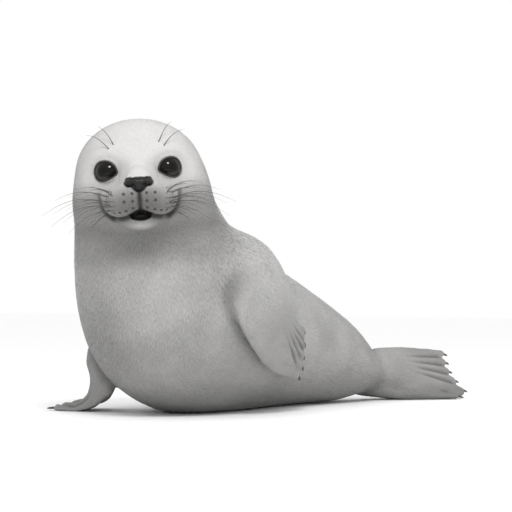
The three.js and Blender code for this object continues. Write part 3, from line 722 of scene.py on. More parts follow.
# %% The mouth's groove, the lips and the bed of the nose
GROOVE_DEPTH, GROOVE_WIDTH = 2.3, 1.9  # mm
LIP_SWELL = (0.7, 4.8, 2.2)  # how high, how far from the groove's middle, how wide, in mm
PHILTRUM_DEPTH, PHILTRUM_WIDTH = 1.9, 1.8  # mm
BED_DEPTH = 2.6  # mm

places = vertices_of(skin)
face = np.flatnonzero(on_head_share(places) > 0.3)
points, normals = places[face], normals_of(skin)[face]
from_mouth = off_mouth[face] / MM
from_middle = abs(2 * along_mouth[face] - 1)
corner_fade = np.interp(from_middle, [0, 0.7, 0.9, 1], [1, 0.9, 0.5, 0.2])
push = -GROOVE_DEPTH * bell(from_mouth, GROOVE_WIDTH) * corner_fade
push += LIP_SWELL[0] * bell(from_mouth - LIP_SWELL[1], LIP_SWELL[2]) * corner_fade
push -= PHILTRUM_DEPTH * bell(off_philtrum[face] / MM, PHILTRUM_WIDTH)

nose_tree = tree_of(nose)
from_nose = distances_to(nose_tree, points, 6 * MM) / MM
push -= BED_DEPTH * (1 - smoothstep(0.8, 2.4, from_nose))
print("points of the head:", len(face))

# %% Sink the ears and move the points
EAR = (-24, 2)  # forward and up of the braincase
BESIDE_HEAD = 160  # mm, from where rays are sent at the ears
EAR_DEPTH, EAR_WIDTH = 3.2, 2.1  # mm
EAR_RIM = (0.9, 4.5, 2.2)  # how high, how far from the ear's middle, how wide, in mm

skin_tree = tree_of(skin)
ears = {}
for side in (LEFT, RIGHT):
    ears[side] = skin_tree.ray_cast(on_head(EAR[0], side * BESIDE_HEAD, EAR[1]), -side * left)[0]
    from_ear = np.linalg.norm(points - np.array(ears[side]), axis=1) / MM
    push += EAR_RIM[0] * bell(from_ear - EAR_RIM[1], EAR_RIM[2]) - EAR_DEPTH * bell(from_ear, EAR_WIDTH)
points += normals * (push * MM)[:, None]

gape = mouth_opening(smooth_face[face], 1.0)
points -= (GAPE_DEPTH * gape * MM)[:, None] * np.array(forward)
places[face] = points
places[:, 2] = np.maximum(places[:, 2], 0)
move_vertices(skin, places)
print("ears at", [[round(x / MM) for x in ears[side]] for side in ears])

# %% Let it settle
LID_NEAR = 16  # mm off the ball
SETTLE_MOST = 0.8

weights = np.zeros(len(places))
weights[face] = 0.5 * bell(from_mouth, 4) + 0.6 * (gape > 0) + 0.5 * (from_nose < 5) + 0.3 * bell(from_ear, 4)
for side in (LEFT, RIGHT):
    reach, off_gaze, round_eye, _ = eye_angles(places[face], side)
    past_rim = (off_gaze - opening_at(round_eye)) * EYE_RADIUS
    by_lid = reach < EYE_RADIUS + LID_NEAR
    weights[face] *= np.where(by_lid, smoothstep(3, 6, past_rim), 1)
    weights[face] += 0.5 * by_lid * bell(past_rim - 6, 3)
set_weights(skin, "settle", np.minimum(weights, SETTLE_MOST))
apply_modifier(skin, "SMOOTH", factor=0.5, iterations=5, vertex_group="settle")
print("settled:", int((weights > 0.1).sum()), "points")

# %% [markdown]
# ## Digits in the flippers
# A flipper is a hand in a mitten: five rays of bone under one skin. Each ray is raised along the line from
# its claw back to the wrist, and the web between two rays is sunk. A last Smooth, strongest along the edges
# that the balls made, takes the beads out of them.

# %% The fan of the digits
FAN_AT_WRIST = 0.35  # how wide the fan of the rays is there, as a share of its width at the claws


def digit_number(points, wrist, ends):
    """0 on the first ray to 4 on the fifth, in between on the webs, and each point's share of the way."""
    span = ends.mean(0) - wrist
    length = np.linalg.norm(span)
    span = span / length
    across = ends[-1] - ends[0]
    across = across - span * (across @ span)
    across /= np.linalg.norm(across)
    share = (points - wrist) @ span / length
    fan = FAN_AT_WRIST + (1 - FAN_AT_WRIST) * np.clip(share, 0, 1.15)
    rays = ((ends - wrist) @ across)[None, :] * fan[:, None]
    place = ((points - wrist) @ across)[:, None]
    number = np.clip((place - rays[:, :-1]) / (rays[:, 1:] - rays[:, :-1]), 0, 1).sum(1)
    return number, share


print("digits in a flipper:", len(DIGITS))

# %% Raise the digits, sink the webs
RAY_RISE, WEB_SINK = {"fore": 0.8, "hind": 1.0}, {"fore": 2.4, "hind": 2.2}  # mm
WRIST_SHARE = {"fore": 0.45, "hind": 0.2}  # where the rays meet, from the flipper's root to the claws
WEB_WIDTH = 0.2  # of the space between two rays
FLIPPER_ROOTS = {  # mm from the braincase, along the world's axes
    "fore_flipper_left": (111, -76, -123), "fore_flipper_right": (104, 133, -216),
    "hind_flipper_left": (524, -20, -252), "hind_flipper_right": (522, -2, -285),
}

places, normals = vertices_of(skin), normals_of(skin)
push, painted_web_shade, toe_share = np.zeros(len(places)), np.zeros(len(places)), np.zeros(len(places))
flipper_flow = {}
for flipper in FLIPPERS:
    kind = flipper[:4]
    ends = np.array([list(root) for root, tip in claws[flipper]])
    root_of = np.array(head_at) + np.array(FLIPPER_ROOTS[flipper]) * MM
    flipper_flow[flipper] = (root_of, ends.mean(0))
    wrist = root_of + (ends.mean(0) - root_of) * WRIST_SHARE[kind]
    here = np.flatnonzero(distances_to(flipper_trees[flipper], places, 5 * MM) < 4 * MM)
    number, share = digit_number(places[here], wrist, ends)
    groove = bell((number - np.floor(number)) - 0.5, WEB_WIDTH) * (number > 0.02) * (number < 3.98)
    fade = smoothstep(0.0, 0.45, share)
    push[here] += fade * (RAY_RISE[kind] * (1 - groove) - WEB_SINK[kind] * groove)
    # painted shade: the sunk grooves between the digits are darkened
    painted_web_shade[here] = groove * smoothstep(0.25, 0.6, share) * (1 - smoothstep(0.9, 1.0, share))
    toe_share[here] = smoothstep(0.75, 0.98, share)
    print(flipper, "digits over", len(here), "points")
places += normals * (push * MM)[:, None]
places[:, 2] = np.maximum(places[:, 2], 0)
move_vertices(skin, places)

# %% Smooth the flippers and their rims
FLIPPER_SMOOTH, RIM_SMOOTH = 0.3, 0.6
RIM_NEAR = (6, 13)  # mm from the middles of the balls

from_rim = near_line(rim_places, places)[0] / MM
by_rim = 1 - smoothstep(*RIM_NEAR, from_rim)
set_weights(skin, "rims", np.maximum(FLIPPER_SMOOTH * on_flippers(places), RIM_SMOOTH * by_rim))
apply_modifier(skin, "SMOOTH", factor=0.5, iterations=14, vertex_group="rims")
print("by a rim:", int((by_rim > 0.5).sum()), "points")

# %% [markdown]
# ## Markings, painted shade and painted light, as masks
# Colour on a seal follows its body: a pale crown and brow, darker pads, dark lips, dark rims of the lids and
# darker flippers. Light and shade are painted in as well: painted shade on the cheeks, under the chin, on the
# underside and the right breast, on the flank under the fore flippers, between the digits, in the ears,
# inside the mouth and round the eyes, and painted light on the back and the chin. Each is one number at each
# point. A tuft later takes the numbers of the place where it is rooted, so it always has the colour of the
# skin below it.

# %% The painted shadow under the fore flippers
SHADOW_TOPS = {"fore_flipper_left": 205, "fore_flipper_right": 110}  # mm above the floor
SHADOW_WIDTH = (1, 15)  # mm from the flipper, full and gone

skin_tree = tree_of(skin)


def painted_flipper_shadow_at(points):
    """1 on the flank close under a fore flipper's free edge, where a painted shadow darkens the coat."""
    shade = np.zeros(len(points))
    for flipper, top in SHADOW_TOPS.items():
        near = 1 - smoothstep(*SHADOW_WIDTH, distances_to(flipper_trees[flipper], points, 16 * MM) / MM)
        shade = np.maximum(shade, near * smoothstep(top, top - 40, points[:, 2] / MM))
    return shade * (1 - on_flippers(points))


print("flippers that shade the flank:", len(SHADOW_TOPS))

# %% Dark skin at the lips and nose, the rims of the lids, and painted shade round the eyes
NOSE_BED = 11  # mm, the height of the bare skin below and beside the nose
LIP_LINE, PHILTRUM_LINE = 4.0, 2.6  # mm, half as wide as the dark lines are


def dark_skin(points):
    """1 on the bare dark skin of the lips, the philtrum and round the nose."""
    ahead, sideways, above = in_head(points).T
    lip = bell(off_mouth / MM, LIP_LINE) * (1 - 0.25 * smoothstep(0.8, 1, abs(2 * along_mouth - 1)))
    split = bell(off_philtrum / MM, PHILTRUM_LINE)
    bed = 1 - smoothstep(0.9, 2.6, distances_to(nose_tree, points, 5 * MM) / MM)
    wedge = 4 + above - NOSE_FOOT  # half as wide as the bare skin is at this height
    bare_skin = smoothstep(wedge + 1.4, wedge - 1.4, abs(sideways)) * smoothstep(80, 86, ahead)
    bare_skin *= smoothstep(0, 2, above - NOSE_FOOT) * (above < NOSE_FOOT + NOSE_BED)
    return np.maximum.reduce([lip * 0.92, split * 0.95, bed, bare_skin])


def lid_rims_and_painted_shade(points):
    """1 on the dark bare rims of the lids, and round them a painted shade that is deepest towards the nose.
    """
    hollow = np.zeros(len(points))
    for side in (LEFT, RIGHT):
        off_rim = near_line(lid_line(side), points)[0] / MM
        round_eye = eye_angles(points, side)[2]
        inner = 0.3 + 0.7 * (0.5 - 0.5 * np.cos(round_eye))
        hollow = np.maximum(hollow, 1 - smoothstep(0.8, 3.0, off_rim))
        hollow = np.maximum(hollow, 0.38 * inner * (1 - smoothstep(1, 13, off_rim)))
    return hollow


print("the nose's lower edge, mm up of the braincase:", round(float(NOSE_FOOT), 1))

# %% The markings of the head, in millimetres on its own grid
PAD_CENTRE, PAD_REACH = (84, 12, -30), (40, 24, 20)  # forward, sideways, up
# where the painted highlight on the chin lies
CHIN_UP, CHIN_WIDTH, CHIN_HEIGHT = -60, 15, 5
CHIN_SHADOW_TOP = -58


def head_masks(points):
    """The markings, painted shade and painted light of the head and throat at each point of the skin, from 0
    to 1.
    """
    ahead, sideways, above = in_head(points).T
    head_share = on_head_share(points)
    masks = {"face": head_share * smoothstep(-15, 45, ahead + 0.45 * above) * smoothstep(-44, 4, above)}
    # painted shade: the cheeks and the lower sides of the head darkened
    masks["painted_cheek_shade"] = head_share * smoothstep(0, -38, above) * smoothstep(-40, 20, ahead)
    from_pad = [
        (place - centre) / reach
        for place, centre, reach in zip((ahead, abs(sideways), above), PAD_CENTRE, PAD_REACH)
    ]
    masks["pads"] = 1 - smoothstep(0.35, 1.25, np.linalg.norm(from_pad, axis=0))
    masks["dark"] = dark_skin(points)
    # the inside of the mouth: its own dark colour, painted near black as shade in the opening
    masks["throat"] = mouth_opening(smooth_face, 0.8)
    # painted highlight: a paler patch on the chin just below the mouth
    chin = bell(sideways, CHIN_WIDTH) * bell(above - CHIN_UP, CHIN_HEIGHT)
    masks["chin"] = head_share * chin * smoothstep(62, 72, ahead)
    top = CHIN_SHADOW_TOP + 10 * smoothstep(20, 60, abs(sideways))  # higher at the sides than below the chin
    # painted shadow: the throat below the chin darkened where the head shades it
    masks["painted_chin_shadow"] = (0.75 + 0.25 * bell(sideways, 36)) * bell(sideways, 130) * smoothstep(-95, -20, ahead)
    masks["painted_chin_shadow"] *= smoothstep(top, top - 13, above) * smoothstep(-122, -84, above)
    masks["eyes"] = lid_rims_and_painted_shade(points)
    from_ear = from_nearest(points, ears.values()) / MM
    # painted shade: the ear holes darkened
    masks["ears"] = 1 - smoothstep(1.2, 3.4, from_ear)
    return masks


print("the throat's shade starts, mm up of the braincase:", CHIN_SHADOW_TOP)

# %% The markings of the body, in millimetres above the floor and along the world's axes
HIND_FROM = 150  # everything further back is tail and hind flippers
BREAST_SHADE = 0.75


def body_masks(points):
    """The markings, painted shade and painted light of the trunk and the flippers at each point, from 0 to 1.
    """
    ahead, sideways, _ = in_head(points).T
    far, _, high = points.T / MM
    off_head = 1 - on_head_share(points)
    flipper = down_flipper(points)
    masks = {"flipper": flipper, "painted_web_shade": painted_web_shade * flipper}
    # painted light: the back paler towards the top, where the light falls
    masks["back"] = smoothstep(60, 210, high) * off_head * smoothstep(40, -60, ahead)
    # painted shade: darker low on the belly, on the soles of the hind flippers and on the right breast
    belly = smoothstep(72, 12, high) * (1 - flipper)
    sole_shade = smoothstep(30, 8, high) * flipper * (far > HIND_FROM)
    shaded_breast = smoothstep(-8, -50, sideways) * smoothstep(240, 60, high) * off_head
    masks["painted_underside_shade"] = np.maximum.reduce([belly, sole_shade, BREAST_SHADE * shaded_breast * (1 - 0.5 * flipper)])
    masks["folds"] = painted_flipper_shadow_at(points)
    return masks


print("hind flippers from, mm along X:", HIND_FROM)

# %% Store the markings on the skin
places = vertices_of(skin)
masks = {**head_masks(places), **body_masks(places)}
for name, values in masks.items():
    add_attribute(skin, name, values)
add_attribute(skin, "root", places, "FLOAT_VECTOR")
print("masks:", {name: round(float(values.mean()), 3) for name, values in masks.items()})

# %% [markdown]
# ## A map of the skin
# The export bakes colour into pictures, so the skin needs a flat map of itself. Smart projection cuts it into
# islands that each face one way, with a small margin between them. Each hair later gets a tiny patch of this
# map at the place where it is rooted.

# %% Unwrap the skin
MAP_ANGLE, MAP_MARGIN = math.radians(66), 0.004

skin.data.uv_layers.new(name="OFBake")


def unwrap():
    bpy.ops.uv.smart_project(angle_limit=MAP_ANGLE, island_margin=MAP_MARGIN)


in_edit_mode(skin, unwrap)
print("skin mapped, triangles:", sum(len(p.vertices) - 2 for p in skin.data.polygons))

# %% [markdown]
# ## Eyes
# A seal's eye is almost all iris and pupil: a big, wet, near-black ball. It starts as a sphere whose pole is
# turned to the gaze, so that its rings run round the pupil. The clear cornea is swelled out of it, and the
# angle off the gaze is stored on the mesh, so that the material can paint the iris with it.

# %% Model the eyeballs
CORNEA_RISE = 0.6  # mm
CORNEA_EDGE = (math.radians(8), math.radians(52))  # full and gone, off the gaze

eyes = {}
for name, side in SIDES.items():
    bpy.ops.object.select_all(action="DESELECT")
    bpy.ops.mesh.primitive_uv_sphere_add(segments=72, ring_count=48, radius=1)
    eye = just_made(f"eyeball_{name}")
    ball = vertices_of(eye)
    off_gaze, round_eye = np.arccos(np.clip(ball[:, 2], -1, 1)), np.arctan2(ball[:, 1], ball[:, 0])
    rise = EYE_RADIUS + CORNEA_RISE * (1 - smoothstep(*CORNEA_EDGE, off_gaze))
    move_vertices(eye, from_gaze(ball[:, [2, 0, 1]] * rise[:, None], side))
    turn_out_and_smooth(eye)
    add_attribute(eye, "off_gaze", off_gaze / math.pi)
    add_attribute(eye, "below", np.sin(-round_eye) * np.sin(off_gaze))
    eyes[name] = eye
print("eyeballs:", [len(eye.data.polygons) for eye in eyes.values()])

# %% [markdown]
# ## Rims of the lids
# Where lid meets ball there is a bare, dark, wet edge. It is a thin ring laid along the opening, and it also
# hides where the skin dives into the ball. A torus has just the right rows of faces for it.

# %% Model the rims
RIM_RADIUS = 1.15  # mm
RIM_OUT, RIM_OFF = 0.1, 0.35  # mm outside the opening, and off the ball
TORUS_RADIUS = 10  # only until the ring is laid along the lid

rims = {}
for name, side in SIDES.items():
    bpy.ops.object.select_all(action="DESELECT")
    bpy.ops.mesh.primitive_torus_add(
        major_segments=120, minor_segments=12, major_radius=TORUS_RADIUS, minor_radius=RIM_RADIUS,
    )
    rim = just_made(f"eye_rim_{name}")
    ring = vertices_of(rim)
    round_eye = np.arctan2(ring[:, 1], ring[:, 0])
    outward, lift = np.hypot(ring[:, 0], ring[:, 1]) - TORUS_RADIUS, ring[:, 2]
    off_gaze = opening_at(round_eye) + (RIM_OUT + outward) / EYE_RADIUS
    reach = EYE_RADIUS + RIM_OFF + lift
    move_vertices(rim, from_gaze(on_ball(off_gaze, round_eye) * reach[:, None], side))
    turn_out_and_smooth(rim)
    rims[name] = rim
print("rims:", list(rims))

# %% [markdown]
# ## Claws
# Every digit ends in a dark claw, oval in section and bent towards the palm. One claw is drawn out of a cone
# with bisected rings, and each of the twenty is a copy of it, laid along its own line and given its own size.

# %% Model one claw
CLAW_RINGS = 6
CONE_TIP, CLAW_TIP = 0.16, 0.14  # shares of the root's radius
CLAW_SLIM, CLAW_TAPER = 0.42, 0.55  # how thick it is before its tip, and how soon it gets thinner
CLAW_OVAL = 0.72  # its height, as a share of its width

bpy.ops.object.select_all(action="DESELECT")
bpy.ops.mesh.primitive_cone_add(vertices=14, radius1=1, radius2=CONE_TIP, depth=1, location=(0, 0, 0.5))
one_claw = just_made("one_claw")
bpy.ops.object.transform_apply(location=True)
bpy.ops.object.mode_set(mode="EDIT")
for ring in range(1, CLAW_RINGS):
    bpy.ops.mesh.select_all(action="SELECT")
    bpy.ops.mesh.bisect(plane_co=(0, 0, ring / CLAW_RINGS), plane_no=(0, 0, 1))
bpy.ops.object.mode_set(mode="OBJECT")
shape = vertices_of(one_claw)
height = shape[:, 2]
cone = 1 - (1 - CONE_TIP) * height
claw_like = CLAW_SLIM + (1 - CLAW_SLIM) * np.maximum(1 - height, 0) ** CLAW_TAPER
shape[:, :2] *= np.where(height > 0.98, CLAW_TIP / CONE_TIP, claw_like / cone)[:, None]
shape[:, 1] *= CLAW_OVAL
move_vertices(one_claw, shape)
print("one claw:", len(one_claw.data.polygons), "faces")

# %% Lay a copy along every claw's line
CLAW_BEND, BEND_START = 0.10, 0.35  # of its length, first up and then down
CLAW_SUNK, CLAW_LONGER = 0.5 * MM, 0.8 * MM
PALM_DOWN = Vector((0, 0, -1))
PALMS = {"fore_flipper_left": Vector((0.1, 0.9, -0.45))}  # this one is held against the flank


def claw_radius(node, root, tip):
    """How thick the solid claw is at its thickest."""
    places = vertices_of(frame["nodes"][node])
    axis = np.array((tip - root).normalized())
    offset = places - np.array(root)
    return np.linalg.norm(offset - np.outer(offset @ axis, axis), axis=1).max()


claw_pieces = {}
for flipper in FLIPPERS:
    palm = PALMS.get(flipper, PALM_DOWN)
    for digit, (root, tip) in zip(DIGITS, claws[flipper]):
        node = f"{flipper.replace('flipper', 'claw')}_{digit}"
        claw = one_claw.copy()
        claw.data = one_claw.data.copy()
        bpy.context.collection.objects.link(claw)
        claw.name = claw.data.name = "horn_" + node
        along = (tip - root).normalized()
        across = along.cross(palm).normalized()
        down = across.cross(along).normalized()
        length, radius = (tip - root).length, claw_radius(node, root, tip)
        wide, deep, out = vertices_of(one_claw).T
        bend = CLAW_BEND * length * (out ** 2 - BEND_START * out)
        base = np.array(root) - np.array(along) * CLAW_SUNK
        spots = base + np.outer(out * (length + CLAW_LONGER), along) + np.outer(wide * radius, across)
        spots += np.outer(deep * radius + bend, down)
        spots[:, 2] = np.maximum(spots[:, 2], 0)
        move_vertices(claw, spots)
        add_attribute(claw, "tipward", out)
        in_edit_mode(claw, lambda: bpy.ops.mesh.normals_make_consistent(inside=False))
        bpy.ops.object.shade_smooth_by_angle(angle=math.radians(50))
        claw_pieces[node] = claw
bpy.data.objects.remove(one_claw)
print("claws:", len(claw_pieces))

# %% [markdown]
# ## Whiskers
# Whiskers stand in rows on the two pads, short at the front and long at the side, and two grow over each eye.
# Each is a thin tapered hair of a few rings on a bowed line. They are many and small, so they are made as one
# mesh. A dark dot sits where each one leaves the skin, and larger dots in rows mark the front of the pads.

# %% Where the whiskers grow
PAD_MIDDLE = (76.0, 15.0, -29.0)  # forward, sideways and up on the head's grid, in mm
WHISKER_ROWS = [  # pitch of the row in degrees, whiskers in it, yaw of its first and last, longest in mm
    (26, 4, 48, 86, 46), (13, 5, 40, 92, 62), (0, 6, 34, 94, 78), (-13, 6, 36, 92, 70), (-26, 5, 42, 84, 52),
]
BIG_WHISKERS = [  # root sideways and up, tip sideways and up as seen from the front, and how far back it is
    (33, -21, 60, -11, 6), (35, -34, 82, -31, 14), (39, -45, 63, -61, 6),
]
BROW_WHISKERS = [(33.5, 34, 60, 56, 6), (27.5, 39, 45.5, 66, 6)]
BIG_RADIUS, BROW_RADIUS = 0.7, 0.6  # mm at the root
OUTSIDE = 80 * MM  # from the pad's middle, where the rays towards it start
random = np.random.default_rng(7)

whiskers = []  # root, direction, length, root's radius
for side in (LEFT, RIGHT):
    middle = on_head(PAD_MIDDLE[0], side * PAD_MIDDLE[1], PAD_MIDDLE[2])
    for pitch, count, first, last, longest in WHISKER_ROWS:
        for i in range(count):
            share = i / (count - 1)
            yaw = math.radians(first + (last - first) * share + random.uniform(-1.5, 1.5))
            tilt = math.radians(pitch + random.uniform(-1.5, 1.5))
            flat = math.cos(tilt)
            aim = np.array([math.cos(yaw) * flat, side * math.sin(yaw) * flat, math.sin(tilt)])
            ray = Vector(aim @ HEAD_AXES)
            root = skin_tree.ray_cast(middle + ray * OUTSIDE, -ray)[0]
            lean = np.array([-0.25 - 0.1 * share, side * (0.55 + 0.5 * share), -0.12 + 0.4 * math.sin(tilt)])
            direction = Vector((aim + lean) @ HEAD_AXES).normalized()
            length = longest * (0.22 + 0.78 * share ** 1.3) * random.uniform(0.9, 1.05)
            whiskers.append((root, direction, length * MM, (0.26 + 0.2 * share) * MM))
    for thick, table in ((BIG_RADIUS, BIG_WHISKERS), (BROW_RADIUS, BROW_WHISKERS)):
        for b, c, tip_b, tip_c, back in table:
            root = surface_ahead(skin_tree, side * b, c)
            way = (tip_b - b) * side * left + (tip_c - c) * up - back * forward
            whiskers.append((root, way.normalized(), way.length * MM, thick * MM))
print("whiskers:", len(whiskers))

# %% Model the whiskers
SIDES_ROUND, RINGS = 5, 11
WHISKER_SUNK = 0.6 * MM
ARCH, SWEEP = 0.10, 0.16  # of its length, up in the middle and down again, and back at the tip
WHISKER_TAPER = 0.82


def mesh_piece(name, places, polygons):
    mesh = bpy.data.meshes.new(name)
    mesh.from_pydata(places, [], polygons)
    mesh.update()
    obj = bpy.data.objects.new(name, mesh)
    bpy.context.collection.objects.link(obj)
    return obj


def whisker_mesh():
    places, polygons = [], []
    for root, direction, length, radius in whiskers:
        start = len(places)
        across = direction.cross(up).normalized()
        rise = direction.cross(across).normalized()
        for ring in range(RINGS):
            t = ring / (RINGS - 1)
            middle = root - direction * WHISKER_SUNK + direction * (length * t)
            bow = up * ARCH * math.sin(math.pi * t) - forward * SWEEP * t * t - up * ARCH * t * t
            middle += bow * length
            here = radius * (1 - WHISKER_TAPER * t) * (1 + 0.05 * math.sin(t * 40))
            for k in range(SIDES_ROUND):
                turn = 2 * math.pi * k / SIDES_ROUND
                places.append(middle + (across * math.cos(turn) + rise * math.sin(turn)) * here)
            if ring:
                low = start + (ring - 1) * SIDES_ROUND
                for k in range(SIDES_ROUND):
                    nxt = (k + 1) % SIDES_ROUND
                    polygons.append((low + k, low + nxt, low + SIDES_ROUND + nxt, low + SIDES_ROUND + k))
        polygons.append(tuple(range(start + SIDES_ROUND - 1, start - 1, -1)))
        last = start + (RINGS - 1) * SIDES_ROUND
        polygons.append(tuple(range(last, last + SIDES_ROUND)))
    return places, polygons


whisker_piece = mesh_piece("whiskers", *whisker_mesh())
turn_out_and_smooth(whisker_piece)
print("whiskers:", len(whisker_piece.data.polygons), "faces")

# %% Model the dots
PAD_DOTS = [  # sideways and up on the head's grid, in mm
    (8.5, -21), (18.5, -21), (8.5, -30), (18.5, -30), (8.5, -38.2), (17, -41), (24.5, -42.5), (31, -42.5),
]
ROOT_DOT, THICK_ROOT_DOT, PAD_DOT = 0.7, 0.9, 1.95  # mm, their radii
THICK_WHISKER = 0.45  # mm
DOT_LEAST, DOT_RISE = 0.2, 0.35  # mm, and a share of the radius: together how high a dot stands

bpy.ops.object.select_all(action="DESELECT")
bpy.ops.mesh.primitive_ico_sphere_add(subdivisions=3, radius=1)
one_dot = bpy.context.object
dot_places, dot_faces = vertices_of(one_dot), [tuple(p.vertices) for p in one_dot.data.polygons]
bpy.data.objects.remove(one_dot)
dot_sizes = [
    (root, THICK_ROOT_DOT if radius / MM > THICK_WHISKER else ROOT_DOT) for root, _, _, radius in whiskers
]
dot_sizes += [(surface_ahead(skin_tree, side * b, c), PAD_DOT) for side in (LEFT, RIGHT) for b, c in PAD_DOTS]
places, polygons = [], []
for root, size in dot_sizes:
    hit, normal, _, _ = skin_tree.find_nearest(root)
    turn = np.array(normal.to_track_quat("Z", "Y").to_matrix())
    spots = (dot_places * [size, size, DOT_LEAST + DOT_RISE * size] * MM) @ turn.T + np.array(hit)
    polygons += [tuple(len(places) + i for i in face) for face in dot_faces]
    places += spots.tolist()
dots = mesh_piece("whisker_dots", places, polygons)
select_only(dots)
bpy.ops.object.shade_smooth()
print("dots:", len(dot_sizes), "with", len(dots.data.polygons), "faces")

# %% [markdown]
# ## The lie of the coat
# Hair on a seal streams away from the nose, over the crown and down the neck, then back along the body to the
# tail. It streams towards the claws on the flippers. So each hair is given a direction: away from the tip of
# the nose near the face, along the trunk's axis behind it, and down the flipper on the flippers.

# %% The direction of the hair
NOSE_TIP = np.array(on_head(100, 0, -8))
NOSE_FLOW = (70 * MM, 170 * MM)  # from the tip of the nose: only away from it, and only along the axis
PAST_CLAWS = 0.6  # of the flipper's length, where its hair converges

axis_stops = [head_at] + [middle_of(node) for node in [*reversed(TRUNK), "tail"]]
axis_line = dense_line(axis_stops, 4 * MM)
axis_ways = np.gradient(axis_line, axis=0)
for _ in range(12):  # rounds the corners between the nodes
    axis_ways[1:-1] = (axis_ways[:-2] + 2 * axis_ways[1:-1] + axis_ways[2:]) / 4
axis_tree = point_tree(axis_line)


def unit(vectors):
    return vectors / np.maximum(np.linalg.norm(vectors, axis=1, keepdims=True), 1e-9)


def flow_at(points, normals, flipper_share):
    """The direction along the skin in which the hair lies."""
    flow = unit(axis_ways[[axis_tree.find(point)[1] for point in points]])
    from_tip = points - NOSE_TIP
    away = 1 - smoothstep(*NOSE_FLOW, np.linalg.norm(from_tip, axis=1))
    flow += (unit(from_tip) - flow) * away[:, None]
    for flipper, (start, end) in flipper_flow.items():
        low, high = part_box(flipper)
        inside = np.all((points > np.array(low) - 3 * MM) & (points < np.array(high) + 3 * MM), axis=1)
        share = (flipper_share * inside)[:, None]
        goal = np.array(end) * (1 + PAST_CLAWS) - PAST_CLAWS * np.array(start)
        flow += (unit(goal - points) - flow) * share
    flow -= normals * np.sum(flow * normals, axis=1, keepdims=True)
    return unit(flow)


axis_steps = np.linalg.norm(np.diff(axis_line, axis=0), axis=1)
print("length of the trunk's axis, m:", round(float(axis_steps.sum()), 3))

# %% [markdown]
# ## Hair by the hundred thousand
# Real hairs are too many and too thin, so each tuft stands for a few dozen: a flat three-sided blade of two
# lengths that ends in a point, lying almost flat. The places are drawn evenly over the skin's area, denser
# where the tufts are small. The random numbers are seeded, so that each run grows the same coat.

# %% Measure the skin's triangles
mesh = skin.data
mesh.calc_loop_triangles()
corners = read_rows(mesh.loop_triangles, "vertices", kind=np.int32)
loops = read_rows(mesh.loop_triangles, "loops", kind=np.int32)
flat_map = read_rows(mesh.uv_layers["OFBake"].data, "uv", width=2)
places, normals = vertices_of(skin), normals_of(skin)
first, second, third = (places[corners[:, i]] for i in range(3))
areas = np.linalg.norm(np.cross(second - first, third - first), axis=1) / 2
print("skin area, m2:", round(float(areas.sum()), 3))

# %% Draw the roots, close together where the tufts are small
TUFTS = 142_000
DENSITY = {"trunk": 1.0, "head": 1.9, "face": 3.4, "flipper": 2.0}

near_eye = from_nearest(places, eye_at.values())
short_coat = np.maximum(on_face_share(places), 1 - smoothstep(20 * MM, 52 * MM, near_eye))
regions = [on_head_share(places), short_coat, masks["flipper"]]
rims_and_dark = (masks["eyes"] > 0.6) | (masks["dark"] > 0.3)
bare = np.maximum.reduce([masks["throat"], masks["ears"], rims_and_dark * 1.0])
wanted = by_region(DENSITY, *regions) * (bare < 0.5)
weight = areas * wanted[corners].mean(axis=1)
reach = np.cumsum(weight) / weight.sum()
random = np.random.default_rng(11)
chosen = np.searchsorted(reach, (np.arange(TUFTS) + random.random(TUFTS)) / TUFTS)
chosen = np.minimum(chosen, len(corners) - 1)
split = np.sqrt(random.random(TUFTS))
other = random.random(TUFTS)
share = np.stack([1 - split, split * (1 - other), split * other], axis=1)


def spread(values):
    """A value of the skin's points at every root."""
    return np.einsum("ij,ij...->i...", share, values[corners[chosen]])


roots, ups = spread(places), unit(spread(normals))
root_map = np.einsum("ij,ijk->ik", share, flat_map[loops[chosen]])
root_regions = [spread(region) for region in regions]
root_masks = {name: spread(values) for name, values in masks.items()}
print("roots:", len(roots), "on", len(np.unique(chosen)), "triangles")

# %% [markdown]
# ## Build the tufts
# All blades share one plan of seven points. Arrays place the seven points of every blade at once: two rings
# of three and a tip. A straight blade would dive into every hollow and stand off every bulge, so its middle
# and its tip are set over the nearest places of the skin and the blade bends with the body. The normals are
# pulled towards the skin's, so that light sees one soft coat instead of a heap of blades, and each blade
# gets a small patch of the skin's map round its root.

# %% How long, wide, thick and steep each blade is
COAT = {  # length, width, thickness in mm and rise off the skin in degrees
    "trunk": (10.0, 1.5, 0.26, 3.0), "head": (6.4, 1.3, 0.22, 3.4),
    "face": (2.9, 0.82, 0.17, 4.5), "flipper": (4.2, 1.05, 0.18, 4.0),
}
LENGTHS, WIDTHS = (0.75, 1.2), (0.8, 1.15)  # from the least to the most, as shares of the table's
RISE_SPREAD = 1.1  # degrees
BY_DARK, ON_TOES, AT_TAIL = 0.55, 0.5, 0.4  # how much shorter it is there

size = np.stack([by_region({k: v[i] for k, v in COAT.items()}, *root_regions) for i in range(4)], axis=1)
size[:, 0] *= random.uniform(*LENGTHS, TUFTS)
size[:, 1] *= random.uniform(*WIDTHS, TUFTS)
near_dark = np.maximum(smoothstep(0.08, 0.5, root_masks["dark"]), smoothstep(0.4, 0.7, root_masks["eyes"]))
size[:, 0] *= (1 - BY_DARK * near_dark) * (1 - ON_TOES * spread(toe_share))
size[:, 0] *= 1 - AT_TAIL * smoothstep(190, 290, roots[:, 0] / MM)
rise = np.radians(np.maximum(size[:, 3] + random.normal(0, RISE_SPREAD, TUFTS), 1))
print("blade length, mm:", round(float(size[:, 0].min()), 1), "to", round(float(size[:, 0].max()), 1))

# %% The way each blade lies, a little off the flow
STRAY, SWIRL = 7, 4.5  # degrees: by chance, and in soft waves over the body

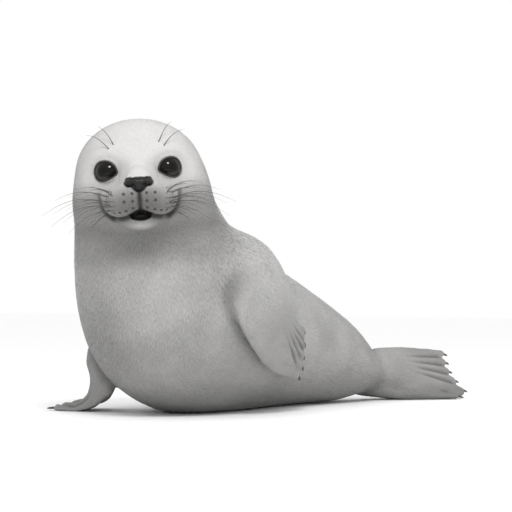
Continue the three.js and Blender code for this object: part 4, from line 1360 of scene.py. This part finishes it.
ways = flow_at(roots, ups, root_regions[2])
wave = np.sin(roots @ np.array([61.0, 47.0, 53.0])) + np.sin(roots @ np.array([-97.0, 83.0, 71.0]) + 1.7)
turn = np.radians(random.normal(0, STRAY, TUFTS) + SWIRL * wave)
across = np.cross(ups, ways)
ways, across = (
    ways * np.cos(turn)[:, None] + across * np.sin(turn)[:, None],
    across * np.cos(turn)[:, None] - ways * np.sin(turn)[:, None],
)
along = ways * np.cos(rise)[:, None] + ups * np.sin(rise)[:, None]
over = np.cross(along, across)
print("turned off the flow by, degrees:", round(float(np.degrees(np.abs(turn)).mean()), 1))

# %% Bend the blades along the skin
ROOT_SUNK = 0.25 * MM
MIDDLE_LIFT, TIP_LIFT = 0.25, 0.75  # of the height that a straight blade's tip would have
HALF_WIDTH, THICKNESS = 0.42, 0.9  # of the middle ring, as shares of the first ring's width and thickness


def on_skin(points):
    """The nearest places on the skin, and which way is out of it there."""
    found = [skin_tree.find_nearest(point) for point in points]
    return np.array([hit[0] for hit in found]), np.array([hit[1] for hit in found])


length, width, thick = (size[:, :3] * MM).T[:, :, None]
lift = length * np.sin(rise)[:, None]
start = roots - ups * ROOT_SUNK
foot, foot_up = on_skin(roots + ways * length * 0.5)
middle = foot + foot_up * lift * MIDDLE_LIFT
foot, tip_up = on_skin(roots + ways * length)
tip = foot + tip_up * lift * TIP_LIFT
half = across * width * HALF_WIDTH
blade = np.stack([
    start - across * width / 2, start + across * width / 2, start + over * thick,
    middle - half, middle + half, middle + foot_up * thick * THICKNESS,
    tip,
], axis=1)
blade[:, :, 2] = np.maximum(blade[:, :, 2], 0)
print("blades:", len(blade), "of", blade.shape[1], "points")

# %% Their shared plan, soft normals and tones
POINTS = blade.shape[1]
PATCH = 0.003  # the side of a blade's patch on the skin's map
PLAN = [(0, 2, 1), (0, 1, 4, 3), (1, 2, 5, 4), (2, 0, 3, 5), (3, 4, 6), (4, 5, 6), (5, 3, 6)]
PATCH_AT = PATCH * np.array(
    [[-0.5, -0.5], [0.5, -0.5], [0, -0.3], [-0.4, 0.1], [0.4, 0.1], [0, 0.2], [0, 0.5]]
)
TIPWARD = np.array([0, 0, 0, 0.55, 0.55, 0.55, 1.0])
SKIN_NORMAL, OWN_NORMAL = 0.72, 0.28  # shares
own = np.stack([-across - over, across - over, over, -across, across, over, along], axis=1)
own /= np.linalg.norm(own, axis=2, keepdims=True)
soft = SKIN_NORMAL * ups[:, None, :] + OWN_NORMAL * own
soft /= np.linalg.norm(soft, axis=2, keepdims=True)
tone = random.random(TUFTS)
print("faces of a blade:", len(PLAN))

# %% Sew the blades into pieces
PIECE_TUFTS = 19_000  # at most, so that no piece gets too heavy


def coat_piece(name, chosen_tufts):
    """One mesh of many blades, with the skin's markings and the blades' own values on it."""
    count = len(chosen_tufts)
    mesh = bpy.data.meshes.new(name)
    sizes = np.array([len(face) for face in PLAN])
    flat = np.concatenate([np.array(face) for face in PLAN])
    loop_vertices = (np.arange(count)[:, None] * POINTS + flat).ravel()
    mesh.vertices.add(count * POINTS)
    mesh.vertices.foreach_set("co", blade[chosen_tufts].astype(np.float32).ravel())
    mesh.loops.add(len(loop_vertices))
    mesh.loops.foreach_set("vertex_index", loop_vertices.astype(np.int32))
    starts = (np.arange(count)[:, None] * len(flat) + np.concatenate([[0], np.cumsum(sizes)[:-1]])).ravel()
    mesh.polygons.add(count * len(PLAN))
    mesh.polygons.foreach_set("loop_start", starts.astype(np.int32))
    mesh.update(calc_edges=True)
    mesh.validate()
    mesh.normals_split_custom_set_from_vertices(soft[chosen_tufts].reshape(-1, 3).astype(np.float32))
    patch = (root_map[chosen_tufts][:, None, :] + PATCH_AT).reshape(-1, 2)
    mesh.uv_layers.new(name="OFBake").data.foreach_set("uv", patch[loop_vertices].astype(np.float32).ravel())
    obj = bpy.data.objects.new(name, mesh)
    bpy.context.collection.objects.link(obj)
    for mask, values in root_masks.items():
        add_attribute(obj, mask, np.repeat(values[chosen_tufts], POINTS))
    add_attribute(obj, "root", np.repeat(roots[chosen_tufts], POINTS, axis=0), "FLOAT_VECTOR")
    add_attribute(obj, "tone", np.repeat(tone[chosen_tufts], POINTS))
    add_attribute(obj, "tipward", np.tile(TIPWARD, count))
    return obj


on_head_roots = (root_regions[0] > 0.5) & (root_regions[2] < 0.5)
on_face_roots = on_head_roots & (root_regions[1] > 0.5)
on_flipper_roots = root_regions[2] >= 0.5
body = np.flatnonzero(~(on_head_roots | on_flipper_roots))
groups = {
    "coat_face": np.flatnonzero(on_face_roots),
    "coat_head": np.flatnonzero(on_head_roots & ~on_face_roots),
    "coat_flippers": np.flatnonzero(on_flipper_roots),
    "coat_body": body[np.argsort(roots[body, 0])],  # in pieces from the head to the tail
}
coats = {}
for group, picked in groups.items():
    for i, part in enumerate(np.array_split(picked, math.ceil(len(picked) / PIECE_TUFTS))):
        coats[f"{group}_{i + 1}"] = coat_piece(f"{group}_{i + 1}", part)
print("coat pieces:", {name: len(obj.data.polygons) for name, obj in coats.items()})

# %% [markdown]
# ## A little language for materials
# A material is arithmetic on noise, masks and colours. Written node by node it is unreadable, so one small
# class wraps a socket and lets Python's own signs add the Math nodes, while one method makes any other node.


# %% Sockets that can be added, subtracted and multiplied
class Shade:
    """A socket of a material; arithmetic on it adds the Math node that works it out."""

    def __init__(self, socket):
        self.socket = socket

    def _math(self, operation, *values):
        sockets = dict(enumerate(values))
        return add_node(self.socket.id_data, "ShaderNodeMath", {"operation": operation}, sockets)

    def __add__(self, other):
        return self._math("ADD", self, other)

    def __rsub__(self, other):
        return self._math("SUBTRACT", other, self)

    def __mul__(self, other):
        return self._math("MULTIPLY", self, other)

    __radd__, __rmul__ = __add__, __mul__


def add_node(tree, kind, settings=None, sockets=None, output=0):
    """Any node: its settings first, then a value or a link for each named or numbered socket."""
    made = tree.nodes.new(kind)
    for name, value in (settings or {}).items():
        setattr(made, name, value)
    for name, value in (sockets or {}).items():
        if isinstance(value, Shade):
            tree.links.new(value.socket, made.inputs[name])
        else:
            made.inputs[name].default_value = value
    return Shade(made.outputs[output])


print("signs that add a Math node: + - *")


# %% A material under work
class Finish:
    """A material under work: its tree, and short words for the nodes that it needs."""

    def __init__(self, name):
        self.material = bpy.data.materials.new(name)
        self.material.use_nodes = True
        self.tree = self.material.node_tree
        self.shader = self.tree.nodes["Principled BSDF"]

    def node(self, kind, settings=None, sockets=None, output=0):
        return add_node(self.tree, "ShaderNode" + kind, settings, sockets, output)

    def place(self):
        return self.node("TexCoord", output=3)

    def attribute(self, name, output=2):
        return self.node("Attribute", {"attribute_name": name}, output=output)

    def noise(self, place, scale, detail=4, roughness=0.55, stretch=None):
        if stretch:
            place = self.node("Mapping", {}, {"Vector": place, "Scale": stretch})
        sockets = {"Vector": place, "Scale": scale, "Detail": detail, "Roughness": roughness}
        return self.node("TexNoise", {}, sockets)

    def blend(self, factor, first, second, kind="MIX"):
        settings = {"data_type": "RGBA", "blend_type": kind, "clamp_factor": True}
        return self.node("Mix", settings, {0: factor, 6: first, 7: second}, output=2)

    def span(self, value, low, high, to_low=0.0, to_high=1.0):
        sockets = {"Value": value, "From Min": low, "From Max": high, "To Min": to_low, "To Max": to_high}
        return self.node("MapRange", {"interpolation_type": "SMOOTHSTEP"}, sockets)

    def bump(self, height, distance, strength=1.0):
        return self.node("Bump", {}, {"Height": height, "Distance": distance, "Strength": strength})

    def set(self, **sockets):
        for name, value in sockets.items():
            socket = self.shader.inputs[name.replace("_", " ")]
            if isinstance(value, Shade):
                self.tree.links.new(value.socket, socket)
            else:
                socket.default_value = value


def grey(level, warm=0.0):
    """A grey of a display's 0 to 255, a little warm or cool, as the shader's light."""
    levels = [level * (1 + warm), level, level * (1 - warm)]
    return tuple(((x / 255 + 0.055) / 1.055) ** 2.4 for x in levels) + (1.0,)


print("silver grey as light:", [round(x, 3) for x in grey(170)])

# %% [markdown]
# ## Silver coat
# The body is an even silver grey with a soft cloudiness, paler on the crown, darker on the pads and the
# flippers. Painted light makes the back and the chin paler, and painted shade darkens the cheeks, the throat
# below the chin, the underside, the flank under the fore flippers and the grooves between the digits. The
# colour is mixed from the masks on every point, and the noise reads the place of the root, so that a blade
# and the skin below it agree. The blades add a darker root, a paler tip and their own tone.


# %% The coat's colour, shared by skin and hair
def coat_colour(finish, root):
    cloud = finish.noise(root, 16, 3)
    fleck = finish.noise(root, 95, 3, 0.6)
    colour = finish.blend(finish.span(cloud, 0.3, 0.7), grey(148, 0.004), grey(166, 0.006))
    # painted light: paler back
    colour = finish.blend(finish.attribute("back") * 0.75, colour, grey(184, 0.003))
    # painted shade: darker underside, soles and right breast
    colour = finish.blend(finish.attribute("painted_underside_shade") * 0.65, colour, grey(104, 0.004))
    # painted shadow: the flank darker under the fore flippers
    colour = finish.blend(finish.attribute("folds") * 0.6, colour, grey(74, 0.004))
    colour = finish.blend(finish.span(fleck, 0.56, 0.72, 0, 0.16), colour, grey(112, 0.01))
    colour = finish.blend(finish.attribute("face") * 0.92, colour, grey(196, 0.006))
    # painted shade: darker cheeks
    colour = finish.blend(finish.attribute("painted_cheek_shade") * 0.85, colour, grey(116, 0.006))
    # painted shadow: the throat below the chin darker
    colour = finish.blend(finish.attribute("painted_chin_shadow") * 0.85, colour, grey(94, 0.006))
    colour = finish.blend(finish.attribute("pads") * 0.9, colour, grey(88, 0.008))
    # painted highlight: paler on the chin
    colour = finish.blend(finish.attribute("chin") * 0.6, colour, grey(190, 0.006))
    colour = finish.blend(finish.attribute("flipper") * (0.12 + 0.2 * cloud), colour, grey(104, 0.012))
    # painted shade: darker grooves between the digits
    colour = finish.blend(finish.attribute("painted_web_shade") * 0.6, colour, grey(62, 0.012))
    # painted shade: darker ear holes
    colour = finish.blend(finish.attribute("ears") * 0.9, colour, grey(46, 0.03))
    # dark bare rims of the lids, and painted shade round the eyes
    colour = finish.blend(finish.attribute("eyes") * 0.7, colour, grey(60, 0.03))
    colour = finish.blend(finish.attribute("dark"), colour, grey(34, 0.05))
    # the mouth's dark inside, painted near black as shade
    return finish.blend(finish.attribute("throat"), colour, grey(14, 0.1))


print("markings that the coat's colour reads:", len(masks))

# %% Skin and hair
skin_finish = Finish("silver_skin")
root = skin_finish.attribute("root", output=1)
fibre = skin_finish.noise(root, 900, 3, 0.7)
pores = skin_finish.noise(root, 260, 5, 0.6)
colour = coat_colour(skin_finish, root)
colour = skin_finish.blend(0.2 * skin_finish.span(fibre, 0.35, 0.65), colour, grey(120, 0.01), "MULTIPLY")
wet = skin_finish.attribute("throat")
skin_finish.set(
    Base_Color=colour,
    Roughness=0.72 - 0.2 * wet + 0.1 * pores,
    Normal=skin_finish.bump(fibre * 0.6 + pores, 0.0006, 0.5),
)
skin_finish.shader.inputs["Specular IOR Level"].default_value = 0.3

hair_finish = Finish("silver_hair")
root = hair_finish.attribute("root", output=1)
tone = hair_finish.attribute("tone")
tipward = hair_finish.attribute("tipward")
colour = coat_colour(hair_finish, root)
colour = hair_finish.blend(hair_finish.span(tone, 0, 1, 0.0, 0.12), colour, grey(90, 0.01))
colour = hair_finish.blend(0.14 - 0.14 * tipward, colour, grey(80, 0.015))
colour = hair_finish.blend(0.08 * tipward, colour, grey(230, 0.01))
strand = hair_finish.noise(hair_finish.place(), 1500, 2, 0.6)
hair_finish.set(
    Base_Color=colour,
    Roughness=0.62 + 0.14 * tone,
    Normal=hair_finish.bump(strand, 0.0003, 0.3),
)
hair_finish.shader.inputs["Specular IOR Level"].default_value = 0.35
print("coat materials:", skin_finish.material.name, hair_finish.material.name)

# %% [markdown]
# ## Eyes, leather, horn and whisker
# The eye is a nearly black brown and mirror smooth, its iris a little lighter than the pupil, with a paler
# crescent of painted light low in it. The nose has the pebbled grain of leather. Claws are dark horn with
# faint streaks, and whiskers are dark and glossy.

# %% The eye
PUPIL, IRIS, PAINTED_EYE_LIGHT = (0.0010, 0.0009, 0.0008, 1), (0.005, 0.0036, 0.0027, 1), (0.045, 0.040, 0.036, 1)

eye_finish = Finish("wet_eye")
off_gaze = eye_finish.attribute("off_gaze")
streak = eye_finish.noise(eye_finish.place(), 620, 4, 0.6)
iris = eye_finish.span(off_gaze, 0.075, 0.12) * (1 - eye_finish.span(off_gaze, 0.2, 0.27))
colour = eye_finish.blend(iris * (0.5 + 0.5 * streak), PUPIL, IRIS)
# painted light: a paler crescent low in the iris, as if light fell into the eye from above
painted_eye_light = eye_finish.span(eye_finish.attribute("below"), 0.26, 0.5) * (1 - eye_finish.span(off_gaze, 0.17, 0.24))
colour = eye_finish.blend(painted_eye_light * 0.6, colour, PAINTED_EYE_LIGHT)
eye_finish.set(Base_Color=colour, Roughness=0.02 + 0.03 * streak)
eye_finish.set(IOR=1.35)
eye_finish.shader.inputs["Specular IOR Level"].default_value = 0.36
print("eye:", len(eye_finish.tree.nodes), "nodes")

# %% The leather of the nose and the rims of the eyes
leather_finish = Finish("nose_leather")
place = leather_finish.place()
grain = {"Vector": place, "Scale": 900, "Smoothness": 0.4}
pebbles = leather_finish.node("TexVoronoi", {"feature": "SMOOTH_F1"}, grain)
damp = leather_finish.noise(place, 130, 3)
colour = leather_finish.blend(leather_finish.span(damp, 0.3, 0.7), grey(16, 0.03), grey(30, 0.02))
# painted shade: darker in the nostrils
colour = leather_finish.blend(leather_finish.attribute("painted_nostril_shade"), colour, grey(8, 0.02))
leather_finish.set(
    Base_Color=colour,
    Roughness=0.34 + 0.24 * damp,
    Normal=leather_finish.bump(1 - pebbles, 0.0004, 0.55),
)
leather_finish.set(Coat_Weight=0.06, Coat_Roughness=0.2)
leather_finish.shader.inputs["Specular IOR Level"].default_value = 0.25

rim_finish = Finish("wet_rim")
place = rim_finish.place()
grain = rim_finish.noise(place, 700, 4)
colour = rim_finish.blend(rim_finish.span(grain, 0.35, 0.65), grey(22, 0.05), grey(48, 0.05))
rim_finish.set(Base_Color=colour, Roughness=0.28 + 0.2 * grain, Normal=rim_finish.bump(grain, 0.0002, 0.4))
print("leather and rim:", len(leather_finish.tree.nodes), "and", len(rim_finish.tree.nodes), "nodes")

# %% Horn, whiskers and their dots
horn_finish = Finish("claw_horn")
place = horn_finish.place()
streaks = horn_finish.noise(place, 420, 4, 0.6, stretch=(0.35, 1, 1))
tipward = horn_finish.attribute("tipward")
colour = horn_finish.blend(horn_finish.span(streaks, 0.3, 0.7), grey(34, 0.03), grey(62, 0.035))
colour = horn_finish.blend(0.4 * tipward, colour, grey(92, 0.04))
horn_finish.set(
    Base_Color=colour,
    Roughness=0.32 + 0.2 * streaks,
    Normal=horn_finish.bump(streaks, 0.0003, 0.4),
)

whisker_finish = Finish("whisker_hair")
banding = whisker_finish.noise(whisker_finish.place(), 260, 2)
colour = whisker_finish.blend(banding, grey(40, 0.03), grey(74, 0.03))
whisker_finish.set(Base_Color=colour, Roughness=0.34 + 0.1 * banding)

dot_finish = Finish("whisker_root")
speck = dot_finish.noise(dot_finish.place(), 900, 3)
colour = dot_finish.blend(speck, grey(34, 0.03), grey(62, 0.03))
dot_finish.set(Base_Color=colour, Roughness=0.5 + 0.2 * speck)
print("materials:", len(bpy.data.materials))

# %% [markdown]
# ## Dress the pieces
# Every piece now gets its material and rides on the one body. The solids that a piece stands for stay
# hidden underneath for the physics.

# %% Materials, bodies and hidden nodes
dressed = []


def dress(piece, finish, slot, *nodes):
    """A material, the body it rides on, and the hidden nodes that it replaces, if any; slot is not used."""
    piece.data.materials.clear()
    piece.data.materials.append(finish.material)
    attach(piece, "root")
    if nodes:
        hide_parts(*nodes)
    dressed.append(piece.name)


select_only(skin)
bpy.ops.object.shade_smooth()
dress(skin, skin_finish, "coat", *FLESH)
dress(nose, leather_finish, "nose_skin", "nose")
for name in SIDES:
    dress(eyes[name], eye_finish, "eye", f"eye_{name}")
    dress(rims[name], rim_finish, "nose_skin")
for node, claw in claw_pieces.items():
    dress(claw, horn_finish, "claw", node)
dress(whisker_piece, whisker_finish, "claw")
dress(dots, dot_finish, "nose_skin")
for name, piece in coats.items():
    slot = "face_coat" if "face" in name else "flipper_skin" if "flipper" in name else "coat"
    dress(piece, hair_finish, slot)
print("pieces dressed:", len(dressed))

# %% [markdown]
# ## Floor and light
# The seal lies on a pale, faintly mottled studio floor that fades into white surroundings. A round lamp in
# front and above gives the body its form and each eye its highlight, a small one just before it gives the
# highlight a bright core, and the bright surroundings keep the shadows soft.

# %% The floor
bpy.ops.object.select_all(action="DESELECT")
bpy.ops.mesh.primitive_plane_add(size=14, location=(0, 0, -0.0006))
floor = just_made("studio_floor")
bpy.ops.object.transform_apply(location=True)
floor_finish = Finish("studio_floor")
haze = floor_finish.noise(floor_finish.place(), 3, 3)
colour = floor_finish.blend(haze, grey(250), grey(253))
floor_finish.set(Base_Color=colour, Roughness=0.85 + 0.1 * haze)
floor.data.materials.append(floor_finish.material)
print("floor, m across:", round(floor.dimensions.x))

# %% The lamps and the surroundings
VIEW_TURN = math.radians(50)  # of the way the camera looks, from +Y towards +X
LAMPS = {  # right, up and towards the camera as shares, metres away, radius, watts
    "key": (0.11, 0.67, 0.73, 1.4, 0.2, 11.0),
    "spark": (0.11, 0.69, 0.73, 1.35, 0.07, 1.8),
}

view_way = Vector((math.sin(VIEW_TURN), math.cos(VIEW_TURN), 0))
view_right = Vector((view_way.y, -view_way.x, 0))


def lamp(name, place, aim, radius, watts):
    data = bpy.data.lights.new(name, "AREA")
    data.shape, data.size, data.energy = "DISK", 2 * radius, watts
    obj = bpy.data.objects.new(name, data)
    obj.location = place
    obj.rotation_euler = (Vector(aim) - Vector(place)).to_track_quat("-Z", "Y").to_euler()
    bpy.context.collection.objects.link(obj)


face_at = on_head(40, 0, 0)
for name, (to_right, high, near, away, radius, watts) in LAMPS.items():
    way = (view_right * to_right + Vector((0, 0, high)) - view_way * near).normalized()
    lamp(name, face_at + way * away, face_at, radius, watts)

world = bpy.data.worlds.new("studio")
bpy.context.scene.world = world
world.use_nodes = True
world.node_tree.nodes["Background"].inputs["Color"].default_value = (1, 1, 1, 1)
world.node_tree.nodes["Background"].inputs["Strength"].default_value = 1.0
bpy.context.scene.view_settings.view_transform = "Standard"
print("lamps:", len(LAMPS))

# %% [markdown]
# ## Camera
# The camera stands low, level with the chest, to the front left of the seal, so that the head faces it and
# the body runs away to the right. A long lens keeps the proportions quiet.

# %% The camera
HEAD_MARK = head_at + Vector((0.002, -0.003, 0.001))
AWAY, HEIGHT, LENS, SENSOR = 2.1, 0.160, 120, 36  # the first two in m, the others in mm
AIM_AHEAD, AIM_RIGHT, AIM_UP = 1.707, 0.115, 0.0347  # m, a place to look at as seen from the camera

camera = bpy.data.objects.new("camera", bpy.data.cameras.new("camera"))
bpy.context.collection.objects.link(camera)
place = HEAD_MARK - view_way * AWAY
place.z = HEIGHT
camera.location = place
aim = view_way * AIM_AHEAD + view_right * AIM_RIGHT + Vector((0, 0, AIM_UP))
camera.rotation_euler = aim.to_track_quat("-Z", "Y").to_euler()
camera.data.lens, camera.data.sensor_width = LENS, SENSOR
bpy.context.scene.camera = camera
print("camera at, m:", [round(x, 3) for x in camera.location])
